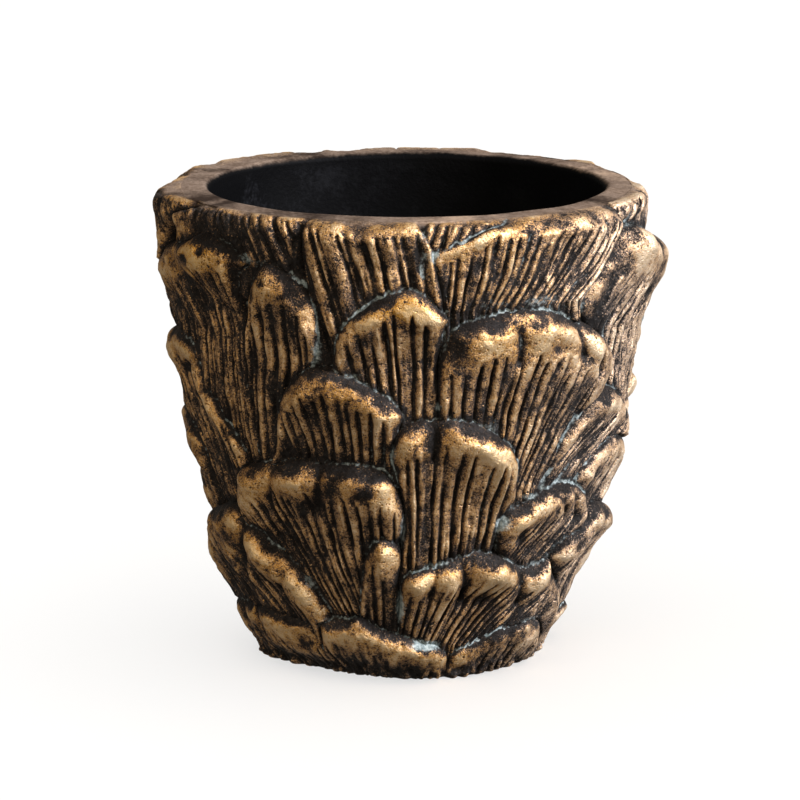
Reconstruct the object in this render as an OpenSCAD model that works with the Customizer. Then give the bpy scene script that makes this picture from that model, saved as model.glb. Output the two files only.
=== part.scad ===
// Round tapered planter pot. A thick plain core is covered with upright,
// overlapping scales in seven rows, from the flat rim down to the base.
// Every scale is a separate solid laid on the core. Each one is trimmed by
// the scales of the rows below it, which lap over its foot.
// Frame: millimetres, +Z up, origin on the axis at the resting face,
// front of the pot towards -Y. Angles run from the front to the right.

/* [Pot] */
// Height from the resting face to the flat rim
pot_height = 200; // [160:1:240]
// Outside diameter of the plain core at the rim
core_top_d = 190; // [176:1:204]
// Outside diameter of the plain core at the resting face
core_base_d = 104; // [92:1:116]
// Roundness of the taper (1 is a straight cone)
belly = 2.2; // [1.4:0.1:3]
// Thickness of the core's wall
wall = 12; // [10:0.5:15]
// Thickness of the floor
floor_t = 22; // [16:1:30]
// Rounding of the rim's inner edge
rim_round = 4; // [2:0.5:6]

/* [Scales] */
// Overall factor on how far the scales stand out of the core
relief = 1; // [0.8:0.05:1.2]
// Thickness of a scale at its foot, as a share of its lip
foot_share = 0.55; // [0.4:0.05:0.7]
// Open seam left round a scale that laps over another
seam = 0.2; // [0.1:0.05:0.5]
// Height of the rounded top of a lip
lip_round = 7; // [4:0.5:9]

/* [View] */
// Which piece to draw

/* [Hidden] */
$fn = 96;

BRASS = [0.68, 0.50, 0.27];
BRONZE = [0.25, 0.19, 0.14];

// One row per scale, in the order in which they are laid: a later row laps
// over an earlier one.
// [ angles: left foot, left shoulder, tip, right shoulder, right foot ],
// [ heights: foot, left shoulder, tip, right shoulder ], lip thickness
SCALES = [
    [[-102,-104,-84,-64,-66], [136,195,200,196], 11], // rim left
    [[-60,-70,-47,-23,-28], [170,195,200,196], 10], // rim front left
    [[-24,-27,-10,8,-10], [140,195,200,186], 10], // rim front
    [[4,0,12,26,16], [168,195,200,197], 9], // rim front small
    [[8,5,34,59,48], [154,182,200,194], 12], // rim front right
    [[56,54,74,95,95], [150,194,200,195], 11], // rim right
    [[89,88,106,125,125], [140,195,200,196], 11], // rim back right
    [[119,118,150,188,188], [136,196,200,195], 11], // rim back
    [[182,181,198,216,216], [136,195,200,196], 11], // rim back left
    [[209,208,236,263,261], [140,196,200,195], 11], // rim left back
    [[-57,-84,-54,-40,-42], [86,170,190,176], 13], // shoulder left
    [[-43,-41,-33,-21,-25], [95,164,183,158], 13], // shoulder front left
    [[55,48,64,92,84], [110,158,190,164], 16], // shoulder right
    [[92,87,103,120,118], [104,152,180,156], 13], // shoulder back right
    [[124,117,148,176,168], [108,162,190,148], 14], // shoulder back
    [[177,172,184,200,196], [100,146,172,150], 12], // shoulder back left
    [[214,201,238,274,262], [104,146,187,164], 14], // shoulder left back
    [[-18,-17,-1,10,8], [114,154,174,158], 12], // upper front
    [[10,8,27,60,36], [76,144,164,130], 13], // upper front right
    [[-88,-97,-76,-54,-46], [70,126,144,118], 12], // upper left
    [[90,83,99,116,113], [76,122,146,126], 13], // upper back right
    [[117,112,131,152,147], [78,126,155,128], 12], // upper back
    [[158,148,176,214,198], [74,128,160,116], 13], // upper back left
    [[212,204,222,247,241], [76,118,148,124], 12], // upper left back
    [[-36,-35,-19,0,-3], [93,116,141,116], 12], // middle front left
    [[-3,-4,9,30,24], [47,102,120,94], 13], // middle front
    [[42,43,55,82,66], [78,102,124,102], 11], // middle right
    [[-102,-122,-98,-72,-74], [58,94,112,94], 12], // middle left
    [[84,78,96,112,110], [46,96,119,98], 12], // middle back right
    [[113,109,123,141,137], [44,100,124,102], 12], // middle back
    [[145,138,164,192,186], [48,104,131,98], 13], // middle back left
    [[196,189,210,245,234], [46,92,118,98], 12], // middle left back
    [[-40,-52,-22,0,-8], [20,84,100,78], 13], // lower front left
    [[60,52,68,92,84], [58,82,101,82], 12], // lower right
    [[32,26,46,63,50], [42,66,85,66], 12], // lower front right
    [[-95,-97,-62,-26,-28], [18,50,72,30], 13], // lower left
    [[58,48,68,100,92], [14,50,70,50], 14], // lower right back
    [[106,97,128,152,144], [34,66,90,64], 12], // lower back right
    [[152,147,160,176,172], [30,70,95,70], 12], // lower back
    [[180,172,200,227,218], [32,70,99,60], 13], // lower back left
    [[228,223,242,268,260], [20,60,84,58], 12], // lower left back
    [[-15,-13,-6,-2,-2], [16,55,67,58], 10], // skirt front small
    [[-3,-2,22,68,54], [6,44,60,24], 12], // skirt front right
    [[84,74,106,128,123], [4,38,58,40], 12], // skirt right back
    [[128,124,138,154,151], [4,36,54,38], 12], // skirt back
    [[156,150,182,206,200], [4,42,65,36], 12], // skirt back left
    [[208,202,220,268,258], [4,36,60,28], 12], // skirt left back
    [[-96,-98,-78,-58,-58], [0,14,26,18], 12], // base left
    [[-58,-60,-44,-30,-31], [0,20,28,24], 11], // base front left
    [[-31,-32,-18,14,16], [0,25,29,11], 11], // base front
    [[16,15,46,64,62], [0,9,24,10], 9], // base front right
    [[62,60,84,99,98], [0,12,24,13], 10], // base right
    [[97,95,112,132,130], [0,13,26,14], 11], // base back right
    [[129,127,160,187,186], [0,14,30,13], 11], // base back
    [[185,183,198,221,220], [0,15,24,16], 11], // base back left
    [[219,217,242,267,266], [0,14,28,15], 11], // base left back
];

// Names of the columns above
function ang(i, k) = SCALES[i][0][k];
function hgt(i, k) = SCALES[i][1][k] * pot_height / 200;
function lip(i) = SCALES[i][2] * relief;
function mid_ang(i) = (ang(i, 1) + ang(i, 3)) / 2;

// Core's outer radius: a curve, drawn as straight steps in height so that the
// core and the backs of the scales share the same faces.
core_steps = 13;
core_curve = [for (i = [0 : core_steps])
    let (t = i / core_steps)
    [t * pot_height,
     core_base_d / 2 + (core_top_d - core_base_d) / 2 * (1 - pow(1 - t, belly))]];
function core_r(z) = lookup(z, core_curve);

// Radius on which the outlines are laid out
function face_r(z) = core_r(z) + 10 * relief;

// Thickness of scale i at height z: thin at the foot, full under the lip,
// rounded off at the top. Rim scales keep a flat top.
function is_rim(i) = SCALES[i][1][2] >= 200;
function ring_top(i) = is_rim(i) ? pot_height : hgt(i, 2) + 1.14;
function thick(i, z) =
    let (top = ring_top(i), foot = hgt(i, 0),
         s = (z - foot) / (top - foot),
         body = lip(i) * (foot_share + (1 - foot_share) * min(1, s / 0.7)),
         d = max(0, lip_round - (top - z)) / lip_round,
         drop = is_rim(i) ? 0.25 : 0.6)
    body - lip(i) * drop * (1 - sqrt(max(0, 1 - d * d)));

// Heights at which a scale's front is drawn
function stops(i) =
    let (top = ring_top(i), foot = hgt(i, 0), k = lip_round * 1.043)
    concat([for (s = [0 : 0.25 : 1]) foot + (top - k - foot) * s],
           [for (a = [30, 60, 80, 90]) top - k + k * sin(a)]);

// Outline of a scale, flat on its own facing plane: straight flanks, arched top.
// It runs past the foot, and past the rim on a rim scale, so that the ring
// alone sets where the scale ends.
function tip(i) = hgt(i, 2) + (is_rim(i) ? 4 : 0);
function toe(i) = hgt(i, 0) - 5;
function pt(i, a, z, g) = [face_r(z) * sin(a - mid_ang(i)) + g, z];
function arch(i, a0, z0, a1, z1, up, g) =
    [for (t = up ? [0 : 15 : 90] : [90 : -15 : 0])
        pt(i, a1 + (a0 - a1) * cos(t), z0 + (z1 - z0) * sin(t), g * cos(t))
        + [0, abs(g) * sin(t)]];
function outline(i, g) = concat(
    [pt(i, ang(i, 0), toe(i), -g)],
    arch(i, ang(i, 1), hgt(i, 1), ang(i, 2), tip(i), true, -g),
    [for (p = arch(i, ang(i, 3), hgt(i, 3), ang(i, 2), tip(i), false, g)) if (p[1] < tip(i) + g - 0.01) p],
    [pt(i, ang(i, 4), toe(i), g)]);

// Outline pushed straight out through the wall
module block(i, g) {
    rotate([0, 0, mid_ang(i)]) rotate([90, 0, 0])
        linear_extrude(height = 160) polygon(outline(i, g));
}

// Ring of the pot's wall that a scale is cut from
module ring(i) {
    z0 = hgt(i, 0);
    z1 = ring_top(i);
    rotate_extrude() polygon(concat(
        [for (z = stops(i)) [core_r(z) + thick(i, z), z]],
        [[core_r(z1), z1]],
        [for (k = [core_steps : -1 : 0]) if (core_curve[k][0] < z1 - 0.01 && core_curve[k][0] > z0 + 0.01)
            [core_curve[k][1], core_curve[k][0]]],
        [[core_r(z0), z0]]));
}

// True when scale j is close enough to lap over scale i
function turn(a) = a - 360 * round(a / 360);
function half_w(i) = (max(SCALES[i][0]) - min(SCALES[i][0])) / 2;
function cen(i) = (max(SCALES[i][0]) + min(SCALES[i][0])) / 2;
function laps(i, j) =
    j > i && abs(turn(cen(j) - cen(i))) < half_w(i) + half_w(j) + 2
    && hgt(j, 0) < hgt(i, 2) && hgt(j, 2) + 1 > hgt(i, 0);

// One finished scale
module one_scale(i) {
    difference() {
        intersection() {
            ring(i);
            block(i, 0);
        }
        for (j = [0 : len(SCALES) - 1]) if (laps(i, j)) block(j, seam);
    }
}

// Plain core: wall, floor, flat rim with a rounded inner edge
module pot_core() {
    top_in = core_top_d / 2 - wall;
    inner = [for (k = [core_steps : -1 : 0])
        if (core_curve[k][0] > floor_t + 8 && core_curve[k][0] < pot_height - rim_round - 1)
            [core_curve[k][1] - wall, core_curve[k][0]]];
    floor_r = core_r(floor_t + 8) - wall;
    color(BRONZE) rotate_extrude() polygon(concat(
        [[0, 0]],
        core_curve_rz(),
        [for (a = [90 : -15 : 0]) [top_in + rim_round - rim_round * sin(90 - a), pot_height - rim_round + rim_round * sin(a)]],
        inner,
        [for (a = [0 : 15 : 90]) [floor_r - 8 + 8 * cos(a), floor_t + 8 - 8 * sin(a)]],
        [[0, floor_t]]));
}
function core_curve_rz() = [for (p = core_curve) [p[1], p[0]]];

module rim_left() { color(BRASS) one_scale(0); }
module rim_front_left() { color(BRASS) one_scale(1); }
module rim_front() { color(BRASS) one_scale(2); }
module rim_front_small() { color(BRASS) one_scale(3); }
module rim_front_right() { color(BRASS) one_scale(4); }
module rim_right() { color(BRASS) one_scale(5); }
module rim_back_right() { color(BRASS) one_scale(6); }
module rim_back() { color(BRASS) one_scale(7); }
module rim_back_left() { color(BRASS) one_scale(8); }
module rim_left_back() { color(BRASS) one_scale(9); }
module shoulder_left() { color(BRASS) one_scale(10); }
module shoulder_front_left() { color(BRASS) one_scale(11); }
module shoulder_right() { color(BRASS) one_scale(12); }
module shoulder_back_right() { color(BRASS) one_scale(13); }
module shoulder_back() { color(BRASS) one_scale(14); }
module shoulder_back_left() { color(BRASS) one_scale(15); }
module shoulder_left_back() { color(BRASS) one_scale(16); }
module upper_front() { color(BRASS) one_scale(17); }
module upper_front_right() { color(BRASS) one_scale(18); }
module upper_left() { color(BRASS) one_scale(19); }
module upper_back_right() { color(BRASS) one_scale(20); }
module upper_back() { color(BRASS) one_scale(21); }
module upper_back_left() { color(BRASS) one_scale(22); }
module upper_left_back() { color(BRASS) one_scale(23); }
module middle_front_left() { color(BRASS) one_scale(24); }
module middle_front() { color(BRASS) one_scale(25); }
module middle_right() { color(BRASS) one_scale(26); }
module middle_left() { color(BRASS) one_scale(27); }
module middle_back_right() { color(BRASS) one_scale(28); }
module middle_back() { color(BRASS) one_scale(29); }
module middle_back_left() { color(BRASS) one_scale(30); }
module middle_left_back() { color(BRASS) one_scale(31); }
module lower_front_left() { color(BRASS) one_scale(32); }
module lower_right() { color(BRASS) one_scale(33); }
module lower_front_right() { color(BRASS) one_scale(34); }
module lower_left() { color(BRASS) one_scale(35); }
module lower_right_back() { color(BRASS) one_scale(36); }
module lower_back_right() { color(BRASS) one_scale(37); }
module lower_back() { color(BRASS) one_scale(38); }
module lower_back_left() { color(BRASS) one_scale(39); }
module lower_left_back() { color(BRASS) one_scale(40); }
module skirt_front_small() { color(BRASS) one_scale(41); }
module skirt_front_right() { color(BRASS) one_scale(42); }
module skirt_right_back() { color(BRASS) one_scale(43); }
module skirt_back() { color(BRASS) one_scale(44); }
module skirt_back_left() { color(BRASS) one_scale(45); }
module skirt_left_back() { color(BRASS) one_scale(46); }
module base_left() { color(BRASS) one_scale(47); }
module base_front_left() { color(BRASS) one_scale(48); }
module base_front() { color(BRASS) one_scale(49); }
module base_front_right() { color(BRASS) one_scale(50); }
module base_right() { color(BRASS) one_scale(51); }
module base_back_right() { color(BRASS) one_scale(52); }
module base_back() { color(BRASS) one_scale(53); }
module base_back_left() { color(BRASS) one_scale(54); }
module base_left_back() { color(BRASS) one_scale(55); }

pot_core();
rim_left();
rim_front_left();
rim_front();
rim_front_small();
rim_front_right();
rim_right();
rim_back_right();
rim_back();
rim_back_left();
rim_left_back();
shoulder_left();
shoulder_front_left();
shoulder_right();
shoulder_back_right();
shoulder_back();
shoulder_back_left();
shoulder_left_back();
upper_front();
upper_front_right();
upper_left();
upper_back_right();
upper_back();
upper_back_left();
upper_left_back();
middle_front_left();
middle_front();
middle_right();
middle_left();
middle_back_right();
middle_back();
middle_back_left();
middle_left_back();
lower_front_left();
lower_right();
lower_front_right();
lower_left();
lower_right_back();
lower_back_right();
lower_back();
lower_back_left();
lower_left_back();
skirt_front_small();
skirt_front_right();
skirt_right_back();
skirt_back();
skirt_back_left();
skirt_left_back();
base_left();
base_front_left();
base_front();
base_front_right();
base_right();
base_back_right();
base_back();
base_back_left();
base_left_back();
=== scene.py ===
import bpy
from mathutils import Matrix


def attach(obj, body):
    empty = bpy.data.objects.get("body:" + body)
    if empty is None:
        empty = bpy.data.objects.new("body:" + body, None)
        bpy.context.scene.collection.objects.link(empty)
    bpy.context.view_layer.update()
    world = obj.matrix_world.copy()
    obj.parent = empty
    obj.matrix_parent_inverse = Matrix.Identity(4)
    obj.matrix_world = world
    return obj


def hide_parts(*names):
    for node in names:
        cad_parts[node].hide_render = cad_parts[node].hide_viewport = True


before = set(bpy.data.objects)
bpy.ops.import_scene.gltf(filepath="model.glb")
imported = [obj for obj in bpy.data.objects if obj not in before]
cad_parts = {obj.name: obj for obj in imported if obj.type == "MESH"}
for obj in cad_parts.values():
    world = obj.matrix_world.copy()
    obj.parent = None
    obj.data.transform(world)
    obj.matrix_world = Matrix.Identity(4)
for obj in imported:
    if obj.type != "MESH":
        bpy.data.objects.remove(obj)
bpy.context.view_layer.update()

import math
import bpy
import numpy as np
from mathutils import Vector
from mathutils.geometry import delaunay_2d_cdt

STEP = 0.5          # grid step in height, mm
NC = 1320           # grid columns round the pot
RHO = 8.0                             # rounding of the rim's outer edge
ZC = 200.0 - RHO                      # height where that rounding starts
rng = np.random.RandomState(41)

# ---------------------------------------------------------------- the core's profile, as in the CAD
_t = np.arange(14) / 13.0
CORE_Z = _t * 200.0
CORE_R = 52.0 + 43.0 * (1 - (1 - _t) ** 2.2)


def core_r(z):
    return np.interp(z, CORE_Z, CORE_R)


# ---------------------------------------------------------------- scales
# poly: outline as (angle, height) points, t: thickness at lip, neck and foot,
# band: smooth height under the lip's edge, flow: guide lines of the grooves as
# (height, left angle, right angle), n: grooves between the guides,
# cr: creases, pits: hollows, rho: rounding of the edge, gd and gw: depth and width of the grooves.
S = {}


def scale(name, poly, t, band, flow, n, cr=(), pits=(), rho=5.0, rl=None, lump=1.0, gd=1.0, gw=1.0):
    if rl is None:
        rl = 5.0 if name.startswith("rim") else (8.0 if name.startswith("base") else 12.0)
    S[name] = dict(poly=poly, t=t, band=band, flow=flow, n=n, cr=cr, pits=pits, rho=rho, rl=rl, lump=lump, gd=gd, gw=gw)


scale("rim_left", [(-104, 126), (-101, 160), (-99.6, 182), (-99.5, 200), (-99.5, 216), (-57, 216), (-60, 204), (-64, 199.5), (-67, 196), (-70, 190), (-74, 182), (-77, 165), (-78, 126)],
      (13, 11, 6), 4, [(203, -104, -66), (180, -100, -60), (160, -96, -56)], 12)
scale("rim_front_left", [(-62, 165), (-69, 188), (-68.5, 196), (-65.5, 199.5), (-61.5, 204), (-58, 216), (-21.5, 216), (-22.5, 205), (-23.5, 198), (-24.5, 190), (-25, 182), (-25.5, 165)],
      (10.5, 9, 6), 3, [(202, -63, -25), (182, -56, -20)], 12)
scale("rim_front", [(-25, 136), (-23.8, 160), (-25, 180), (-26, 192), (-25.8, 200), (-24.5, 216), (6, 216), (4, 205), (4.5, 199.5), (6.5, 192), (8, 185), (9.5, 175), (10, 160), (-6, 136)],
      (10.5, 9, 5), 8, [(201, -25, 4), (168, -19.5, 7), (140, -15, 10)], 9, gw=1.35, gd=1.15)
scale("rim_front_small", [(1, 176), (3, 190), (3.2, 200), (3, 216), (28, 216), (26, 205), (22, 196), (16, 186), (8, 176)],
      (9.5, 8.5, 6), 2.5, [(202, 5.5, 21), (186, 2.5, 18)], 5)
scale("rim_front_right", [(8.5, 146), (7.5, 165), (6.3, 178), (5.0, 184.5), (6, 189.5), (10.5, 193.3), (16.5, 198.5), (20, 202), (23, 206), (27, 216), (61, 216), (59.5, 205), (59.2, 197), (58.8, 190), (57, 185), (54.5, 180), (50.5, 172), (46.5, 163), (42, 146)],
      (12, 10, 6), 11, [(194, 8.5, 58.5), (178, 8.5, 51.5), (164, 8, 42.5)], 18)
scale("rim_right", [(62, 168), (57.5, 186), (57, 197), (57.5, 205), (59, 216), (93.5, 216), (93, 200), (92.5, 180), (92, 160)],
      (11, 6, 4), 4, [(203, 60, 93), (185, 52, 87)], 11)

scale("shoulder_left", [(-92, 140), (-90, 160), (-84, 173), (-75, 180.5), (-66, 183.5), (-60.5, 186), (-56.7, 189.2), (-53, 190.5), (-48, 190), (-44, 187.5), (-40.5, 184), (-39.2, 180), (-41, 174), (-42.5, 166), (-42, 158), (-41.5, 130), (-41.5, 94), (-58, 94), (-64, 120), (-80, 130)],
      (12.5, 9.5, 5.5), 17, [(176, -80, -44.5), (160, -71, -43), (150, -67, -42.5), (105, -67, -42.5)], 13, rl=8.0,
      pits=[(-51.5, 183, 2.4, 2.2, 1.0), (-57, 178.5, 2.6, 2.0, .7), (-62, 176, 1.6, 1.6, .6)])
scale("shoulder_front_left", [(-43.5, 92), (-43, 130), (-42.5, 150), (-41, 160), (-40.2, 166), (-39, 172.5), (-37.2, 178.5), (-35, 182.2), (-32.5, 183.5), (-29, 181.8), (-25.6, 178), (-23, 172), (-21.3, 165), (-20.4, 154.5), (-20.8, 144), (-23.5, 130), (-27, 92)],
      (12.5, 9, 5), 17, [(168, -41.5, -21.5), (140, -43, -22), (100, -45, -26)], 7, pits=[(-34, 174, 2.2, 1.6, 1.2)])
scale("shoulder_right", [(56, 104), (55, 130), (53, 145), (49.5, 152), (47, 160), (49, 168), (51.8, 176), (55, 183.5), (58, 189), (62, 191), (67, 189.5), (72, 186.5), (78, 184), (85, 182), (93, 174), (97, 150), (90, 104)],
      (16, 9, 5), 20, [(172, 62, 92), (148, 53.5, 83), (120, 51, 80)], 9, rho=9)

scale("upper_front", [(-19.5, 108), (-18.5, 135), (-17.8, 146), (-17, 153), (-15.8, 158), (-13.8, 162.3), (-11.2, 165.8), (-7.4, 170.6), (-4.0, 173.6), (0, 174.6), (3.5, 173), (6.8, 168.8), (9.4, 164.3), (10.6, 160.5), (9.6, 156), (8.6, 148), (8.2, 138), (9, 108)],
      (11.5, 8.5, 5), 13, [(160, -16.5, 9.5), (122, -13.5, 9)], 8)
scale("upper_front_right", [(9, 70), (8, 110), (7.5, 130), (7.8, 142), (8.7, 150.5), (10.2, 156), (12.4, 159.4), (16.6, 162.5), (21.7, 164.4), (27.5, 164.8), (35, 163.4), (40, 160), (45, 155.8), (50, 151.5), (54.2, 147.2), (57.8, 141.5), (59.6, 135), (59.6, 129), (56, 121), (51, 108), (45, 92), (38, 78), (34, 70)],
      (13, 10, 5), 22, [(142, 9.5, 53), (112, 10, 46.5), (84, 9, 39)], 15,
      cr=[(26, 154.5, 26.8, 142, 2.6, 1.6), (42, 156, 45.2, 141, 3, 2.0)], pits=[(51, 135, 1.6, 5, 2.5)])
scale("upper_left", [(-98, 62), (-104, 100), (-102, 126), (-96, 136), (-88, 141), (-80, 143.8), (-73, 144.4), (-67, 142.8), (-63, 139.2), (-61.2, 134.5), (-59.6, 129.5), (-56.8, 123), (-54.2, 117), (-51.7, 111.8), (-49.2, 107), (-47, 100), (-45.5, 88), (-43, 62)],
      (11, 8.5, 5), 12, [(128, -92, -57.5), (100, -84, -49.5), (72, -77, -45)], 14, cr=[(-61, 134.5, -71, 128, 3, 3)])

scale("middle_front_left", [(-36.5, 86), (-35.5, 105), (-34.8, 114), (-34, 120), (-32.6, 125.3), (-30.2, 130.5), (-27.6, 135.4), (-24.2, 139.2), (-20, 141), (-16.6, 140.7), (-13.2, 137.7), (-9.8, 134.3), (-6.6, 131.3), (-4, 129), (-1.6, 124.8), (-0.2, 120), (-1.5, 114), (-2.4, 105), (-2.4, 86)],
      (11.5, 9, 5.5), 14, [(126, -34, -1.5), (102, -31.5, -3)], 12)
scale("middle_front", [(-2, 40), (-1.5, 60), (-1.2, 72), (-1.2, 80), (-2, 87), (-3.2, 94.5), (-4.2, 101), (-4, 106.3), (-2.8, 111.4), (-0.8, 115.7), (2.5, 118.5), (5.2, 119.8), (9, 120.8), (12.6, 120), (16.8, 118.4), (21, 114.8), (24.3, 110.4), (27.7, 104.7), (29.4, 100.8), (30.5, 97), (31.2, 90), (31, 82), (29.5, 76), (28, 70), (27, 58), (25, 40)],
      (12.5, 9.5, 6), 16, [(104, -1.8, 30), (58, -1, 27.5)], 9, cr=[(6.4, 117, 7, 102, 3.2, 2.1)])
scale("middle_right", [(40, 70), (41, 90), (42.5, 100), (44, 107.5), (46.5, 113.5), (48.4, 118.3), (50.7, 122), (53.5, 124.4), (58, 124), (63, 122.5), (70, 118.2), (75.5, 113), (81, 106.5), (85, 96), (80, 70)],
      (10.5, 8.5, 5), 12, [(114, 57, 84), (92, 44, 66), (78, 37, 58)], 10, rho=8)
scale("middle_left", [(-126, 60), (-128, 88), (-120, 98), (-109, 104.5), (-98, 107), (-89, 106), (-81, 103.5), (-75, 100), (-71.5, 94), (-70, 84), (-72, 60)],
      (13, 10.5, 5), 11, [(98, -118, -73), (68, -106, -66)], 14)

scale("lower_front_left", [(-36, 12), (-43, 40), (-51, 58), (-53, 72), (-52.4, 80), (-50.8, 88), (-48.4, 92), (-43.3, 94.8), (-38.3, 97.5), (-33.3, 99.6), (-28.3, 100.5), (-23.3, 100.5), (-18.3, 99.6), (-13.3, 99.9), (-8.2, 99), (-4.8, 96.8), (-2.9, 93.2), (-1.6, 88.6), (-0.4, 81), (0, 75), (-0.6, 69), (-1.9, 63.5), (-2.6, 50), (-4.5, 12)],
      (12, 9.5, 5.5), 17, [(86, -52, -1), (60, -45, -2.5), (28, -29, -4)], 15,
      cr=[(-36, 98, -38.6, 81, 2.6, 2.0), (-22.2, 100, -24.6, 79, 3.2, 2.0)])
scale("lower_right", [(60, 52), (55, 72), (52.3, 82), (52.6, 86), (55, 90.8), (60, 96), (65, 100.4), (70, 101.5), (76, 99.3), (84, 95), (94, 88), (97, 75), (92, 52)],
      (10.5, 8.5, 5), 12, [(92, 60, 92), (68, 52, 84)], 9)
scale("lower_front_right", [(31, 36), (28.5, 52), (26.6, 62), (25.8, 67), (26.4, 71.5), (28.8, 77), (33.2, 79.5), (37.4, 82.4), (40.7, 85.4), (45, 86.5), (50, 85.8), (54.2, 84), (57.8, 81), (61.2, 75.6), (62.8, 70), (62, 63.5), (58.5, 56), (53, 36)],
      (11.5, 9, 5.5), 13, [(72, 36, 61), (52, 27, 50)], 9,
      cr=[(44.5, 81, 49.5, 69, 2.2, 1.8), (52, 80, 55, 68, 2.4, 1.8)], pits=[(34, 64, 2.5, 4, 1.6)])
scale("lower_left", [(-96, 12), (-104, 32), (-101, 46), (-93, 54), (-82, 61.5), (-73, 67.5), (-65, 72), (-58.5, 73.5), (-54, 72), (-49, 69.5), (-44.8, 65.3), (-40.5, 59.8), (-36.4, 54.8), (-33, 50), (-29.6, 43), (-27, 36.5), (-25, 29.5), (-24.5, 12)],
      (13, 12, 9), 22, [(56, -84, -34), (28, -66, -24)], 12,
      cr=[(-50, 69.5, -56, 48, 3.2, 2.0), (-36, 53, -41, 40, 2.0, 2.0)], pits=[(-67, 60, 3, 2, 1.0)])
scale("lower_right_back", [(57, 20), (50.5, 42), (48.6, 51.5), (53, 59.8), (57.8, 62.4), (61.8, 66.8), (65, 70.6), (69, 70.8), (73.5, 68.6), (79, 66.4), (86, 64.4), (92, 62.2), (98, 58), (102, 50), (98, 8), (60, 8)],
      (14.5, 10, 6), 12, [(60, 64, 94), (50, 57, 89.5), (40, 52, 86), (28, 49, 84), (14, 47.5, 83)], 10)

scale("skirt_front_small", [(-17, 8), (-15.6, 30), (-14.6, 42), (-13.4, 53), (-12.2, 60), (-10.4, 64.6), (-8.3, 67.2), (-5.8, 67.8), (-3.4, 66.2), (-1.7, 62.2), (-1.4, 55), (-1.8, 45), (-1.5, 35), (-1.2, 8)],
      (12.5, 9.5, 6), 14, [(54, -13.5, -1.5), (26, -15.5, -1.5)], 4)
scale("skirt_front_right", [(-3.4, 2), (-3.2, 25), (-2.8, 36), (-2.0, 46), (0, 50.6), (5, 53.3), (10.8, 56.2), (16.7, 59.2), (20.8, 61), (25, 59.3), (29, 57), (33.3, 54.2), (37.5, 51.2), (41.7, 49.7), (46.7, 51.2), (49.4, 51.8), (52, 47.6), (56, 42.6), (59.4, 37.4), (63.4, 31.4), (67.5, 24), (66, 2)],
      (12, 9, 6), 14, [(44, 0.5, 56), (16, -2, 33)], 16,
      cr=[(8.6, 52, 7.4, 40, 2.2, 1.6), (16.6, 53, 18.6, 38, 3.2, 1.8), (35.6, 51, 39, 33, 2.6, 2.0)], pits=[(25, 37, 5, 3.5, 1.8)])

scale("base_left", [(-99, -10), (-103, 10), (-94, 21.5), (-82, 26), (-71, 27.5), (-63, 28.5), (-57.5, 27), (-57, -10)],
      (13, 9.5, 6), 14, [(20, -98, -58), (0, -98, -57)], 8, gd=0.7)
scale("base_front_left", [(-60, -10), (-62, 18), (-61, 27.5), (-56, 30), (-48.3, 29.5), (-40.8, 28.8), (-36.7, 28), (-32.2, 28), (-30, 24), (-30, -10)],
      (11.5, 9.5, 4.5), 17, [(14, -60, -30), (0, -58, -30)], 6, gd=0.6)
scale("base_front", [(-31.8, -10), (-32, 23), (-31, 27.6), (-26, 29.1), (-20, 29.1), (-15.8, 30), (-12.8, 28.7), (-9.8, 26.5), (-4.8, 24), (0.2, 22), (5.2, 19), (10.2, 17.3), (14.5, 14.2), (17, 8), (17, -10)],
      (11.5, 9.5, 5), 15, [(13, -31, 16), (0, -30, 15)], 11, gd=0.65)
scale("base_front_right", [(15, -10), (15.6, 9), (18.5, 14), (23, 17.4), (29, 20.5), (35, 22.8), (41.7, 24.3), (46.7, 25), (53, 24.3), (58.3, 19.5), (63.5, 12), (66, -10)],
      (9, 8.5, 6.5), 12, [(12, 16, 64), (0, 16, 62)], 11, gd=0.7)


LUMPS_B, WEAR_B = {}, []


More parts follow.
